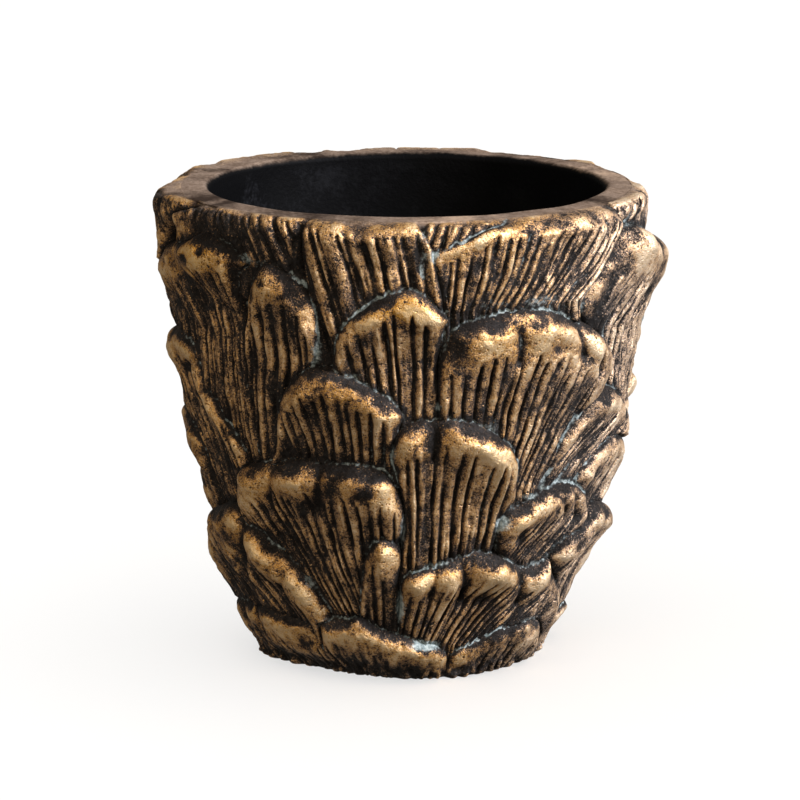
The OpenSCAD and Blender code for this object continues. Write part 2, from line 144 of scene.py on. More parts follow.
def back(name, a, z, lip, band=13.0, lean=None, cuts=None):
    """A scale of the unseen side, from the same five corners as its CAD node."""
    bl, l, tip, r, br = a
    zb, zl, za, zr = z
    r2 = np.random.RandomState(sum(ord(c) * (k + 7) for k, c in enumerate(name)) % 99991)
    d = r2.uniform(-6, 6) if lean is None else lean
    wid = math.radians(r - l) * (core_r(min(za, 200) - band) + 9)
    n = max(4, int(round(wid / 5.3)))
    q = r2.uniform(-1.5, 1.5)
    if za >= 200:
        u = r2.uniform(-0.8, 0.8, 4)
        poly = [(bl, zb - 8), (l + u[0], 170), (l + u[1], 188), (l, 216), (r, 216), (r + u[2], 188), (r + u[3], 170), (br, zb - 8)]
        flow = [(202, l + 1, r - 1), (180, l + d + q, r + d + q), (zb, l + 1.6 * d, r + 1.6 * d)]
        scale(name, poly, (lip, lip * 0.86, lip * 0.5), band, flow, n)
        for k in range(max(1, int(wid / 30))):
            LUMPS_B.setdefault(name, []).append((r2.uniform(l + 6, r - 6), r2.uniform(184, 192), r2.uniform(6, 11), r2.uniform(5, 9), r2.uniform(-20, 20), r2.uniform(0.5, 1.0)))
        return
    if cuts is None:
        cuts = 0 if wid < 42 else (1 if wid < 68 else 2)
    at = [(k + 1) / (cuts + 1) + r2.uniform(-0.10, 0.10) for k in range(cuts)]
    notch = [(l + f * (r - l), r2.uniform(2.0, 3.8)) for f in at]
    ph = r2.uniform(0, 6.28, 2)
    pw = r2.uniform(0.86, 1.12)
    poly = [(bl, zb - 8), (bl + 0.35 * (l - bl) + r2.uniform(-0.9, 0.9), zb + 0.35 * (zl - zb)), (bl + 0.8 * (l - bl) + r2.uniform(-0.5, 0.5), zb + 0.76 * (zl - zb))]
    arch = []
    for k in range(0, 181, 9):
        c, s_ = math.cos(math.radians(k)), math.sin(math.radians(k))
        e, ze = (l, zl) if k <= 90 else (r, zr)
        x = tip + (e - tip) * abs(c) ** pw
        y = ze + (za - ze) * s_ ** pw + s_ * (0.9 * math.sin(math.radians(3 * k) + ph[0]) + 0.7 * math.sin(math.radians(5 * k) + ph[1]))
        for n_, d_ in notch:
            y -= d_ * math.exp(-((x - n_) / 2.8) ** 2)
        arch.append((x, y))
    poly = poly + arch + [(br + 0.8 * (r - br) + r2.uniform(-0.5, 0.5), zb + 0.76 * (zr - zb)), (br + 0.35 * (r - br) + r2.uniform(-0.9, 0.9), zb + 0.35 * (zr - zb)), (br, zb - 8)]
    ax, ay = [k[0] for k in arch], [k[1] for k in arch]
    zt = za - band
    zm = 0.5 * (zt + zb)
    flow = [(zt, l + 1.5, r - 1.5), (zm, l + 0.4 * (bl - l) + 1 + 0.35 * d + q, r + 0.4 * (br - r) - 1 + 0.35 * d + q), (zb, 0.5 * (l + bl) + 1 + d, 0.5 * (r + br) - 1 + d)]
    cr, pits = [], []
    for n_, d_ in notch:
        t_ = float(np.interp(n_, ax, ay))
        cr.append((n_, t_ - 1, n_ + r2.uniform(-2.2, 2.2), t_ - band - 2, r2.uniform(2.2, 3.2), r2.uniform(1.6, 2.1)))
        WEAR_B.append((n_, t_ - 6, 2.6, 8, r2.uniform(-8, 8), -0.40))
    if r2.rand() < 0.4:
        f = r2.uniform(0.25, 0.75)
        x = l + f * (r - l)
        pits.append((x, float(np.interp(x, ax, ay)) - 0.55 * band, r2.uniform(1.8, 2.8), r2.uniform(1.6, 2.6), r2.uniform(0.8, 1.6)))
    ends = [l] + [k[0] for k in notch] + [r]
    for x0, x1 in zip(ends[:-1], ends[1:]):
        x = 0.5 * (x0 + x1) + 0.15 * (tip - 0.5 * (x0 + x1)) + r2.uniform(-1.5, 1.5)
        hw = 0.34 * math.radians(x1 - x0) * (core_r(zt) + 9)
        t_ = float(np.interp(x, ax, ay))
        ti = r2.uniform(-22, 22)
        LUMPS_B.setdefault(name, []).append((x, t_ - 0.6 * band, hw, 0.48 * band, ti, r2.uniform(0.9, 1.7)))
        WEAR_B.append((x, t_ - 0.62 * band, 0.85 * hw, 0.34 * band, ti, r2.uniform(0.12, 0.28)))
        if r2.rand() < 0.6:
            WEAR_B.append((x + r2.uniform(-4, 4), t_ - 2.5, 0.8 * hw, 3.6, -ti, -r2.uniform(0.2, 0.4)))
        LUMPS_B[name].append((x + r2.uniform(-3, 3), t_ - 1.5 * band, hw, 5.0, ti, -r2.uniform(0.3, 0.9)))
    scale(name, poly, (lip, lip * 0.76, lip * 0.46), band, flow, n, cr=cr, pits=pits)


back("rim_back_right", (91, 90, 106, 121, 121), (140, 195, 200, 196), 11, band=5)
back("rim_back", (119, 118, 150, 184, 184), (136, 196, 200, 195), 11, band=8)
back("rim_back_left", (182, 181, 198, 211, 211), (136, 195, 200, 196), 11, band=4)
back("rim_left_back", (209, 208, 236, 263, 261), (140, 196, 200, 195), 11, band=7)
back("shoulder_back_right", (92, 87, 103, 120, 118), (104, 152, 180, 156), 12.5, band=17)
back("shoulder_back", (124, 117, 148, 176, 168), (108, 162, 190, 148), 13.5, band=19)
back("shoulder_back_left", (177, 172, 184, 200, 196), (100, 146, 172, 150), 12, band=13)
back("shoulder_left_back", (214, 201, 238, 274, 262), (104, 146, 187, 164), 13, band=16)
back("upper_back_right", (90, 83, 99, 116, 113), (76, 122, 146, 126), 12.5, band=13)
back("upper_back", (117, 112, 131, 152, 147), (78, 126, 155, 128), 12, band=15)
back("upper_back_left", (158, 148, 176, 214, 198), (74, 128, 160, 116), 13, band=20)
back("upper_left_back", (212, 204, 222, 247, 241), (76, 118, 148, 124), 12, band=14)
back("middle_back_right", (84, 78, 96, 112, 110), (46, 96, 119, 98), 11.5, band=12, lean=-5)
back("middle_back", (113, 109, 123, 141, 137), (44, 100, 124, 102), 12, band=17)
back("middle_back_left", (145, 138, 164, 192, 186), (48, 104, 131, 98), 12.5, band=16)
back("middle_left_back", (196, 189, 210, 245, 234), (46, 92, 118, 98), 12, band=12)
back("lower_back_right", (106, 97, 128, 152, 144), (34, 66, 90, 64), 12, band=15, lean=6)
back("lower_back", (152, 147, 160, 176, 172), (30, 70, 95, 70), 12, band=13)
back("lower_back_left", (180, 172, 200, 227, 218), (32, 70, 99, 60), 12.5, band=18)
back("lower_left_back", (228, 223, 242, 268, 260), (20, 60, 84, 58), 12, band=13)
back("skirt_right_back", (95, 90, 108, 128, 123), (4, 36, 58, 40), 12, lean=-4)
back("skirt_back", (128, 124, 138, 154, 151), (4, 36, 54, 38), 12, band=11)
back("skirt_back_left", (156, 150, 182, 206, 200), (4, 42, 65, 36), 12, band=15)
back("skirt_left_back", (208, 202, 220, 268, 258), (4, 36, 60, 28), 12, band=12)
back("base_right", (62, 60, 84, 99, 98), (0, 12, 24, 13), 8.5, band=7, cuts=0)
back("base_back_right", (97, 95, 112, 132, 130), (0, 13, 26, 14), 11, band=11, cuts=0)
back("base_back", (129, 127, 160, 187, 186), (0, 14, 30, 13), 11, band=12, cuts=1)
back("base_back_left", (185, 183, 198, 221, 220), (0, 15, 24, 16), 11, band=9, cuts=0)
back("base_left_back", (219, 217, 242, 267, 266), (0, 14, 28, 15), 11, band=11, cuts=1)

# thickness factors across a scale, as (angle, factor)
TW = {
    "shoulder_left": [(-92, .60), (-78, .70), (-66, .92), (-58, 1)],
    "shoulder_left_back": [(201, 1), (240, .95), (257, .72), (274, .60)],
    "shoulder_right": [(47, .42), (53, .50), (58, .64), (63, .84), (68, 1), (97, 1)],
    "middle_left": [(-128, 1), (-105, .82), (-90, .74), (-76, .9)],
    "upper_back_right": [(82, .48), (90, .55), (98, .85), (106, 1)],
    "middle_back_right": [(78, .45), (90, .55), (99, .85), (106, 1)],
    "skirt_right_back": [(88, .88), (96, 1)],
    "lower_right_back": [(48, 1), (82, 1), (88, .86), (94, .66), (102, .50)],
}
# outer radius of the rim's edge and of the foot's edge round the pot
RIM_R = [(-180, 105.5), (-176, 107), (-168, 107.3), (-160, 106), (-155, 104), (-148, 107), (-140, 107.5), (-130, 107.5), (-120, 107), (-112, 105), (-104, 101.5),
         (-97, 101.5), (-91, 105), (-85, 108.4), (-76, 108.4), (-70, 106.5), (-64, 103.5), (-55, 104), (-40, 104.5), (-28, 104), (-25, 102.5), (-22, 104.5), (-8, 105), (2, 104.5),
         (5, 103), (10, 104), (20, 105), (35, 106), (50, 106.3), (57, 105), (59, 103.5), (63, 105), (75, 106), (85, 104.5), (92, 102), (97, 100.5), (102, 98.8), (107, 98.2),
         (113, 100.5), (120, 102.5), (128, 104), (134, 101), (138, 101), (145, 103), (150, 106.3), (156, 107.3), (163, 107.3), (170, 106), (176, 104), (180, 105.5)]
FOOT_R = [(-180, 58.5), (-150, 59.5), (-120, 58.5), (-100, 61.5), (-75, 62.5), (-62, 60), (-52, 55.5), (-40, 54), (-25, 54.5), (-12, 57), (0, 58.5), (15, 59.5), (30, 59.5),
          (45, 58.5), (60, 57.8), (80, 57.5), (100, 58.5), (120, 59), (140, 58), (160, 59.5), (180, 58.5)]

# swellings and dips: scale, (angle, height, half-width, half-height, tilt, rise in mm)
LUMPS = {
    "shoulder_left": [(-56, 181, 15, 7.5, -26, 2.4), (-42.5, 172, 3.2, 9, 8, -2.6), (-58, 167, 17, 4.2, -22, -1.8)],
    "shoulder_front_left": [(-34, 173, 5.5, 7, 0, 1.4), (-25, 168, 4, 9, 10, -1.2)],
    "upper_front": [(2, 166, 8, 6, -30, 1.6), (-8, 163, 8, 5, 30, 1.2), (-3, 171, 4, 4, 0, .5)],
    "upper_front_right": [(18, 154, 9, 7, 20, 1.4), (33, 153, 9, 7, 0, 1.2), (50, 146, 7, 7, -30, 1.2), (12, 146, 5, 8, 0, -.8)],
    "middle_front_left": [(-24, 129, 11, 6, 25, 1.3), (-9, 126, 10, 6, -25, 1.3)],
    "middle_front": [(1, 109, 6, 7, 0, 1.0), (17, 109, 11, 7, -10, 1.8)],
    "middle_right": [(56, 116, 8, 4, -20, .9)],
    "lower_front_left": [(-45, 87, 7, 6, 10, 1.2), (-31, 91, 7, 6, 0, 1.3), (-12, 90, 10, 6, 0, 1.4)],
    "lower_front_right": [(34, 73, 7, 4, 25, .9), (47, 78, 6, 5, 0, 1.0), (57, 74, 4, 5, 0, .8)],
    "lower_left": [(-65, 62, 10, 8, 0, 1.7), (-47, 54, 13, 7.5, -42, 1.9), (-32, 40, 9, 5.5, -55, 1.2)],
    "skirt_front_small": [(-7, 58, 4.5, 6, 0, 1.2)],
    "skirt_front_right": [(4, 47, 4.5, 5, 0, .45), (13, 48, 4.5, 7, 0, .7), (27, 49, 8, 6, 0, 1.5), (45, 43, 5, 6, 0, 1.0), (20, 36, 5, 4, 0, -.8)],
    "base_front": [(-26, 21, 7, 5, 0, 1.0), (-13, 20, 7, 5, 0, 1.0), (3, 14, 8, 4, -10, .9)],
    "base_front_left": [(-48, 21, 9, 5, 0, 1.0)],
    "rim_front": [(-16, 186, 6, 10, 0, .8), (-4, 190, 7, 8, 0, .7)],
    "shoulder_right": [(72, 178, 8, 8, 0, 1.0)],
}
LUMPS.update(LUMPS_B)

# ---------------------------------------------------------------- grid
wall_z = np.arange(0.0, ZC + 1e-6, STEP)
wall_z[0] = 0.0
n_arc = int(round(RHO * math.pi / 2 / STEP))
arc_a = (np.arange(1, n_arc + 1) / n_arc) * (math.pi / 2)
n_flat = 8
flat_w = np.arange(1, n_flat + 1) / n_flat
V = np.concatenate([wall_z, ZC + RHO * arc_a, ZC + RHO * math.pi / 2 + 3.0 * flat_w])
NR = len(V)
NW = len(wall_z)
TH = np.arange(NC) * (360.0 / NC)
RC_ROW = core_r(np.minimum(V, 200.0))
FACE = RC_ROW + 9.0                    # radius used to turn angles into lengths
DEG = math.pi / 180


def noise(seed, mm):
    """Smooth random field over the grid, periodic round the pot, unit spread; mm is its feature size."""
    r3 = np.random.RandomState(seed)
    nr = NR + int(60 / STEP)
    w = r3.normal(size=(nr, NC))
    fy = np.fft.fftfreq(nr, d=STEP)[:, None]
    fx = np.fft.rfftfreq(NC, d=2 * math.pi * 95.0 / NC)[None, :]
    g = np.exp(-2 * (math.pi * mm * 0.35) ** 2 * (fx * fx + fy * fy))
    f = np.fft.irfft2(np.fft.rfft2(w) * g, s=(nr, NC))[:NR]
    return ((f - f.mean()) / f.std()).astype(np.float32)


N_BIG, N_MID, N_SML, N_TINY = noise(3, 22.0), noise(5, 9.0), noise(7, 4.0), noise(9, 2.2)


def blur(f, mm):
    pad = int(40 / STEP)
    g0 = np.concatenate([np.repeat(f[:1], pad, 0), f, np.repeat(f[-1:], pad, 0)], 0)
    fy = np.fft.fftfreq(len(g0), d=STEP)[:, None]
    fx = np.fft.rfftfreq(NC, d=2 * math.pi * 95.0 / NC)[None, :]
    k = np.exp(-2 * (math.pi * mm) ** 2 * (fx * fx + fy * fy))
    return np.fft.irfft2(np.fft.rfft2(g0) * k, s=g0.shape)[pad:pad + len(f)]


def spline(pts, sub=6):
    p = np.asarray(pts, float)
    q = []
    n = len(p)
    for i in range(n):
        a, b, c, d = p[(i - 1) % n], p[i], p[(i + 1) % n], p[(i + 2) % n]
        for k in range(sub):
            t = k / sub
            q.append(0.5 * ((2 * b) + (c - a) * t + (2 * a - 5 * b + 4 * c - d) * t * t + (3 * b - a - 3 * c + d) * t ** 3))
    return np.array(q)


def signed(X, Y, px, py):
    """Distance to a closed outline, positive inside."""
    d2 = np.full(X.shape, 1e9, np.float32)
    inside = np.zeros(X.shape, bool)
    n = len(px)
    for i in range(n):
        x0, y0, x1, y1 = px[i], py[i], px[(i + 1) % n], py[(i + 1) % n]
        ex, ey = x1 - x0, y1 - y0
        L = ex * ex + ey * ey + 1e-9
        t = np.clip(((X - x0) * ex + (Y - y0) * ey) / L, 0, 1)
        dx, dy = X - x0 - t * ex, Y - y0 - t * ey
        np.minimum(d2, dx * dx + dy * dy, out=d2)
        if y0 != y1:
            c = ((y0 > Y) != (y1 > Y)) & (X < (x1 - x0) * (Y - y0) / (y1 - y0) + x0)
            inside ^= c
    d = np.sqrt(d2)
    return np.where(inside, d, -d)


_GR = np.random.RandomState(5).normal(size=(256, 256)).astype(np.float32)


def grain(x, y):
    """Random values on a unit lattice, blended between its points."""
    xi, yi = np.floor(x).astype(int), np.floor(y).astype(int)
    fx, fy = x - xi, y - yi
    fx, fy = fx * fx * (3 - 2 * fx), fy * fy * (3 - 2 * fy)
    a, b = _GR[yi % 256, xi % 256], _GR[yi % 256, (xi + 1) % 256]
    c, d = _GR[(yi + 1) % 256, xi % 256], _GR[(yi + 1) % 256, (xi + 1) % 256]
    return (a * (1 - fx) + b * fx) * (1 - fy) + (c * (1 - fx) + d * fx) * fy


def sstep(a, b, x):
    t = np.clip((x - a) / (b - a), 0, 1)
    return t * t * (3 - 2 * t)


COMP = np.full((NR, NC), 0.4, np.float32)
LIP = np.zeros((NR, NC), np.float32)
OWNER = np.full((NR, NC), -1, np.int16)
NEXT = np.zeros((NR, NC), np.float32)            # height of the scale just below the visible one
ROWS = ("rim", "shoulder", "upper", "middle", "lower", "skirt", "base")
NAMES = sorted(S, key=lambda k: ROWS.index(k.split("_")[0]))
for idx, name in enumerate(NAMES):
    p = S[name]
    r4 = np.random.RandomState(1000 + idx)
    if name.startswith("rim"):                   # straight edges where a rim scale runs over the top
        q = []
        for a, b in zip(p["poly"], p["poly"][1:] + p["poly"][:1]):
            q.append(a)
            if max(a[1], b[1]) > 206:
                q += [(a[0] + (b[0] - a[0]) * k / 5, a[1] + (b[1] - a[1]) * k / 5) for k in range(1, 5)]
        p["poly"] = q
    out = spline(p["poly"], 6)
    th_c = 0.5 * (out[:, 0].min() + out[:, 0].max())
    c0 = int(math.floor((out[:, 0].min() - 1.5) / (360.0 / NC)))
    c1 = int(math.ceil((out[:, 0].max() + 1.5) / (360.0 / NC)))
    r0 = int(np.searchsorted(V, out[:, 1].min() - 1.5))
    r1 = int(np.searchsorted(V, out[:, 1].max() + 1.5))
    r0, r1 = max(0, r0), min(NR, r1)
    cols = np.arange(c0, c1 + 1)
    th = (cols * (360.0 / NC)).astype(np.float32)
    v = V[r0:r1].astype(np.float32)
    TT, VV = np.meshgrid(th, v)
    fr = np.interp(v, V, FACE).astype(np.float32)[:, None]
    X = ((TT - th_c) * DEG * fr).astype(np.float32)
    face_o = np.interp(out[:, 1], V, FACE)
    px, py = (out[:, 0] - th_c) * DEG * face_o, out[:, 1]
    wob = np.take(N_BIG[r0:r1], cols % NC, axis=1) * 0.30 + np.take(N_MID[r0:r1], cols % NC, axis=1) * 0.12
    F = signed(X, VV, px.astype(np.float32), py.astype(np.float32)) + wob
    # upper edge of the outline over each column
    zt = np.where(F > 0, VV, -50).max(0)
    k = max(1, int(3.5 / (360.0 / NC * DEG * 95)))
    ztp = np.pad(zt, k, mode="edge")
    zt = np.max([ztp[j:j + len(zt)] for j in range(2 * k + 1)], 0)
    ztp = np.pad(zt, k, mode="edge")
    zt = np.mean([ztp[j:j + len(zt)] for j in range(2 * k + 1)], 0)
    zt = np.minimum(zt, 204.0)[None, :]
    lipT, neckT, footT = p["t"]
    a180 = (TT + 180) % 360 - 180
    if name.startswith("rim"):
        lipT = np.interp(a180[0], *zip(*RIM_R))[None, :] - float(core_r(ZC))
        neckT = np.minimum(neckT, lipT)
    zf = max(0.0, out[:, 1].min())
    d_top = zt - VV
    band = p["band"]
    rim = name.startswith("rim")
    Lf = 1 - sstep(0.45 * band, 2.1 * band + 6, d_top)
    Lw = 1 - sstep(0.75 * band, 1.25 * band, d_top)
    s = np.clip((VV - zf) / np.maximum(8.0, zt - band - zf), 0, 1)
    neckT = neckT - (0.0 if rim else 2.5)
    body = footT + (neckT - footT) * s ** 0.7
    T = body + (lipT - body) * Lf
    if name in TW:
        T = T * np.interp(TT[0], *zip(*TW[name]))[None, :]
    nb, nm, ns, nt = (np.take(f[r0:r1], cols % NC, axis=1) for f in (N_BIG, N_MID, N_SML, N_TINY))
    T = T + p["lump"] * (0.55 * nb + 0.50 * nm * (0.30 + 0.70 * Lw) + 0.13 * ns + 0.08 * nt)
    # grooves
    fl = sorted(p["flow"])
    fz = [q[0] for q in fl]
    gl, gr = np.interp(v, fz, [q[1] for q in fl]), np.interp(v, fz, [q[2] for q in fl])
    G = np.zeros_like(T)
    n = p["n"]
    for k in range(-1, n + 1):
        u = (k + 0.5 + r4.uniform(-0.28, 0.28)) / n
        hw = r4.uniform(0.80, 1.65) * p["gw"]
        dep = r4.uniform(2.4, 3.5) * p["gd"]
        ph = r4.uniform(0, 6.28, 3)
        cen = gl + u * (gr - gl)
        mm = 0.22 * np.sin(v / 7.3 + ph[0]) + 0.10 * np.sin(v / 3.1 + ph[1])
        cen = cen + mm / (DEG * fr[:, 0])
        slope = np.gradient(cen * DEG * fr[:, 0], v)
        cosa = 1 / np.sqrt(1 + slope * slope)
        pitch = np.clip((gr - gl) / n * DEG * fr[:, 0] * cosa / 5.4, 0.45, 1.15)[:, None]
        dx = (TT - cen[:, None]) * DEG * fr * cosa[:, None]
        zcol = np.interp(cen, th, zt[0])
        top = (zcol - band - r4.uniform(-2.0, 2.5))[:, None]
        if r4.rand() < 0.12:
            top = top - r4.uniform(4, 9)
        over = np.maximum(0, VV - top)
        d = np.sqrt(dx * dx + (over * 0.9) ** 2)
        wv = hw * pitch * (1 + 0.15 * np.sin(v / 4.1 + ph[2]))[:, None] * (0.72 + 0.28 * sstep(0, 7, top - VV))
        g = 0.76 * np.exp(-(d / (0.72 * wv)) ** 2) + 0.24 * np.exp(-(d / (1.7 * wv)) ** 2)
        along = np.clip(0.85 + 0.30 * grain(np.full_like(v, 53.3 * k + 7.7 * idx), v / 11.0), 0.45, 1.2)[:, None]
        g = g * dep * along * (0.35 + 0.65 * pitch) * (0.70 + 0.30 * sstep(0, 5, top - VV))
        np.maximum(G, g, out=G)
    G = np.minimum(G * (0.85 + 0.15 * nm), 4.3)
    wu = (TT - gl[:, None]) / (gr - gl)[:, None] * n
    T = T + (1 - Lw) * 0.50 * np.interp(wu, np.arange(-3, n + 4), r4.normal(size=n + 7).clip(-1.3, 1.3))
    T = T + (0.06 + 0.24 * (1 - Lw)) * grain(wu * 4.3 + 37.1 * idx, VV / 9.0 + 11.7 * idx)
    if name.startswith("base"):
        foot = np.interp(a180[0], *zip(*FOOT_R))[None, :] - 52.0 + 0.7 * ns + 0.35 * nt
        T = foot + (T - foot) * sstep(0.0, 12.0, VV)
    G *= sstep(1.2, 3.5, F)
    for (a0, z0, a1, z1, dd, ww) in p["cr"]:
        x0, x1 = (a0 - th_c) * DEG * float(np.interp(z0, V, FACE)), (a1 - th_c) * DEG * float(np.interp(z1, V, FACE))
        ex, ey = x1 - x0, z1 - z0
        t = np.clip(((X - x0) * ex + (VV - z0) * ey) / (ex * ex + ey * ey), 0, 1)
        bend = 0.8 * np.sin(t * 3.1)
        d = np.hypot(X - x0 - t * ex - bend, VV - z0 - t * ey)
        T = T - 1.35 * dd * (0.66 * np.exp(-(d / (2.7 * ww)) ** 2) + 0.48 * np.exp(-(d / (0.70 * ww)) ** 2) * (0.35 + 0.65 * t))
    for (a0, z0, rx, rz, dd) in p["pits"]:
        x0 = (a0 - th_c) * DEG * float(np.interp(z0, V, FACE))
        q = ((X - x0) / rx) ** 2 + ((VV - z0) / rz) ** 2
        T = T - dd * np.exp(-q ** 1.5)
    for (a0, z0, w_, h_, tilt, rise) in LUMPS.get(name, ()):
        x = X - (a0 - th_c) * DEG * float(np.interp(z0, V, FACE))
        ct, st = math.cos(tilt * DEG), math.sin(tilt * DEG)
        T = T + rise * (1.0 if name in LUMPS_B else 1.5) * np.exp(-((x * ct + (VV - z0) * st) / w_) ** 2 - (((VV - z0) * ct - x * st) / h_) ** 2)
    Lr = 1 - sstep(0.7 * band, 1.6 * band, d_top)
    e = np.clip(F / (p["rho"] + (p["rl"] - p["rho"]) * Lr), 0, 1)
    prof = np.sqrt(np.clip(1 - (1 - e) ** 2.0, 0, 1))
    H0 = T * (0.12 + 0.88 * prof)
    H = H0 - G * prof
    H = np.where(F < 0, np.maximum(0.25, 0.12 * T + F * 2.5), np.maximum(H, 0.25)).astype(np.float32)
    H0 = np.where(F < 0, H, np.maximum(H0, 0.25)).astype(np.float32)
    p.update(idx=idx, cols=cols, r0=r0, r1=r1, F=F.astype(np.float32), H=H, H0=H0, lip=Lw.astype(np.float32), th_c=th_c)

# a scale's covered foot stays well below the grooves of the scale over it, and a lower row always lies over a higher one
COVER = np.zeros((NR, NC), np.float32)
LOWER = np.zeros((NR, NC), np.float32)           # heights and outlines of the rows further down
LOWF = np.full((NR, NC), -9.0, np.float32)
for row in reversed(ROWS):
    mine = [k for k in NAMES if k.split("_")[0] == row]
    for name in reversed(mine):
        p = S[name]
        r0, r1, cc = p["r0"], p["r1"], p["cols"] % NC
        over, low, lf = COVER[r0:r1][:, cc], LOWER[r0:r1][:, cc], LOWF[r0:r1][:, cc]
        k = sstep(0.25, 0.9, over - p["H0"])
        p["H"] = np.maximum(0.25, p["H"] * (1 - k) + np.minimum(p["H"], over - 5.0) * k).astype(np.float32)
        k = sstep(2.0, 4.5, lf)
        p["H"] = np.maximum(0.25, p["H"] * (1 - k) + np.minimum(p["H"], low - 5.0) * k).astype(np.float32)
        COVER[r0:r1, cc] = np.maximum(over, np.where(p["F"] > 0, p["H0"], 0))
    for name in mine:
        p = S[name]
        r0, r1, cc = p["r0"], p["r1"], p["cols"] % NC
        LOWER[r0:r1, cc] = np.maximum(LOWER[r0:r1][:, cc], np.where(p["F"] > 0, p["H0"], 0))
        LOWF[r0:r1, cc] = np.maximum(LOWF[r0:r1][:, cc], p["F"])

for name in NAMES:
    p = S[name]
    r0, r1, cc, H = p["r0"], p["r1"], p["cols"] % NC, p["H"]
    sub, own, lip = COMP[r0:r1][:, cc], OWNER[r0:r1][:, cc], LIP[r0:r1][:, cc]
    win = (H > sub) & (p["F"] > -0.5)
    low = np.where(p["F"] > -0.5, H, 0)
    NEXT[r0:r1, cc] = np.where(win, sub, np.maximum(NEXT[r0:r1][:, cc], low))
    COMP[r0:r1, cc] = np.where(win, H, sub)
    OWNER[r0:r1, cc] = np.where(win, p["idx"], own)
    LIP[r0:r1, cc] = np.where(win, p["lip"], lip)

# ---------------------------------------------------------------- fields that drive the finish
TG, VG = np.meshgrid(TH, V)


def spot(a, z, w, h, tilt=0.0):
    """Soft oval on the pot: angle, height, half-width and half-height in mm, tilt in degrees."""
    x = ((TG - a + 180) % 360 - 180) * DEG * FACE[:, None]
    y = VG - z
    c, t = math.cos(tilt * DEG), math.sin(tilt * DEG)
    return np.exp(-((x * c + y * t) / w) ** 2 - ((y * c - x * t) / h) ** 2)


c1 = COMP - blur(COMP, 0.9)
c2 = COMP - blur(COMP, 2.2)
c3 = COMP - blur(COMP, 6.0)
dz = np.gradient(COMP, STEP, axis=0)
up = np.clip(-dz, 0, 3)                      # upward slope of a lip's top
shelf = sstep(0.18, 1.25, up)
# lips that are rubbed right up to their top edge
shelf = shelf * (1 - 0.62 * spot(28, 161, 25, 6) - 0.75 * spot(-60, 186, 15, 6.5, -24) - 0.55 * spot(63, 188, 12, 6) - 0.35 * spot(2, 172, 12, 5)
                 - 0.60 * spot(-46, 57, 24, 8, -42) - 0.40 * spot(-66, 67, 10, 6, 20) - 0.50 * spot(-37, 97, 16, 5))
seam = np.zeros((NR, NC), bool)
for sh, ax in ((1, 0), (-1, 0), (1, 1), (-1, 1)):
    seam |= OWNER != np.roll(OWNER, sh, axis=ax)
seam[:2] = False
seam[-2:] = False
SD = np.where(seam, 0.0, 99.0).astype(np.float32)
for k in range(int(8 / STEP)):
    for sh, ax in ((1, 0), (-1, 0), (1, 1), (-1, 1)):
        SD = np.minimum(SD, np.roll(SD, sh, axis=ax) + STEP)

side = np.exp(-(((TH - 45 + 180) % 360 - 180) / 45.0) ** 2)             # where the brass runs on to the rim
rimf = sstep(0, 1, (V[:, None] - 199.5 - 4.0 * side[None, :]) / 5.5)
# pale and dark stretches of the dust on the rim, by angle
DUSTK = [(-180, -.2), (-150, -.2), (-120, -.15), (-100, -.2), (-90, -.05), (-80, -.45), (-72, -.55), (-62, -.1), (-50, -.15), (-40, -.35), (-32, -.8), (-26, -.75), (-18, -.3), (-8, .1),
         (0, .26), (15, .20), (30, .14), (42, .04), (60, .0), (90, .05), (110, .15), (125, .1), (140, -.35), (155, -.3), (170, -.1), (180, -.2)]


def dust_k(th_deg, seed):
    """Tone of the rim's dust at each angle, with small patches."""
    rd = np.random.RandomState(seed)
    t = (np.asarray(th_deg) + 180) % 360 - 180
    f = np.interp(t, *zip(*DUSTK))
    for n_, a_ in ((90, 0.16), (40, 0.16)):
        v_ = rd.normal(size=n_)
        f = f + a_ * np.interp(t + 180, np.arange(n_ + 1) * 360.0 / n_, np.append(v_, v_[0]))
    return np.clip(f, -1, 1)


def streaky(seed, mm, run):
    """Random field drawn out upwards, for tones that follow the ridges."""
    f, k = noise(seed, mm), int(run / STEP)
    c = np.cumsum(np.pad(f, ((k, 0), (0, 0)), mode="wrap"), 0)
    g = (c[k:] - c[:-k]) / k
    return g / g.std()


wear = (0.375 + 0.32 * np.clip(c2 / 0.8, -1.5, 1) + 0.12 * np.clip(c1 / 0.4, -1.5, 1) + 0.365 * LIP * (1 - shelf)
        + 0.15 * np.clip(c3 / 2.5, -1, 1) - (0.50 - 0.13 * N_MID.clip(-1, 1.6) - 0.10 * N_SML.clip(-1, 1.5)) * shelf - 0.26 * np.clip(1.7 * blur(shelf, 2.2), 0, 1) * (1 - shelf) - 0.20 * np.exp(-SD / 1.5) + 0.06 * N_BIG + 0.08 * N_MID
        + 0.09 * streaky(93, 2.6, 14.0).clip(-2, 2) * (1 - LIP))

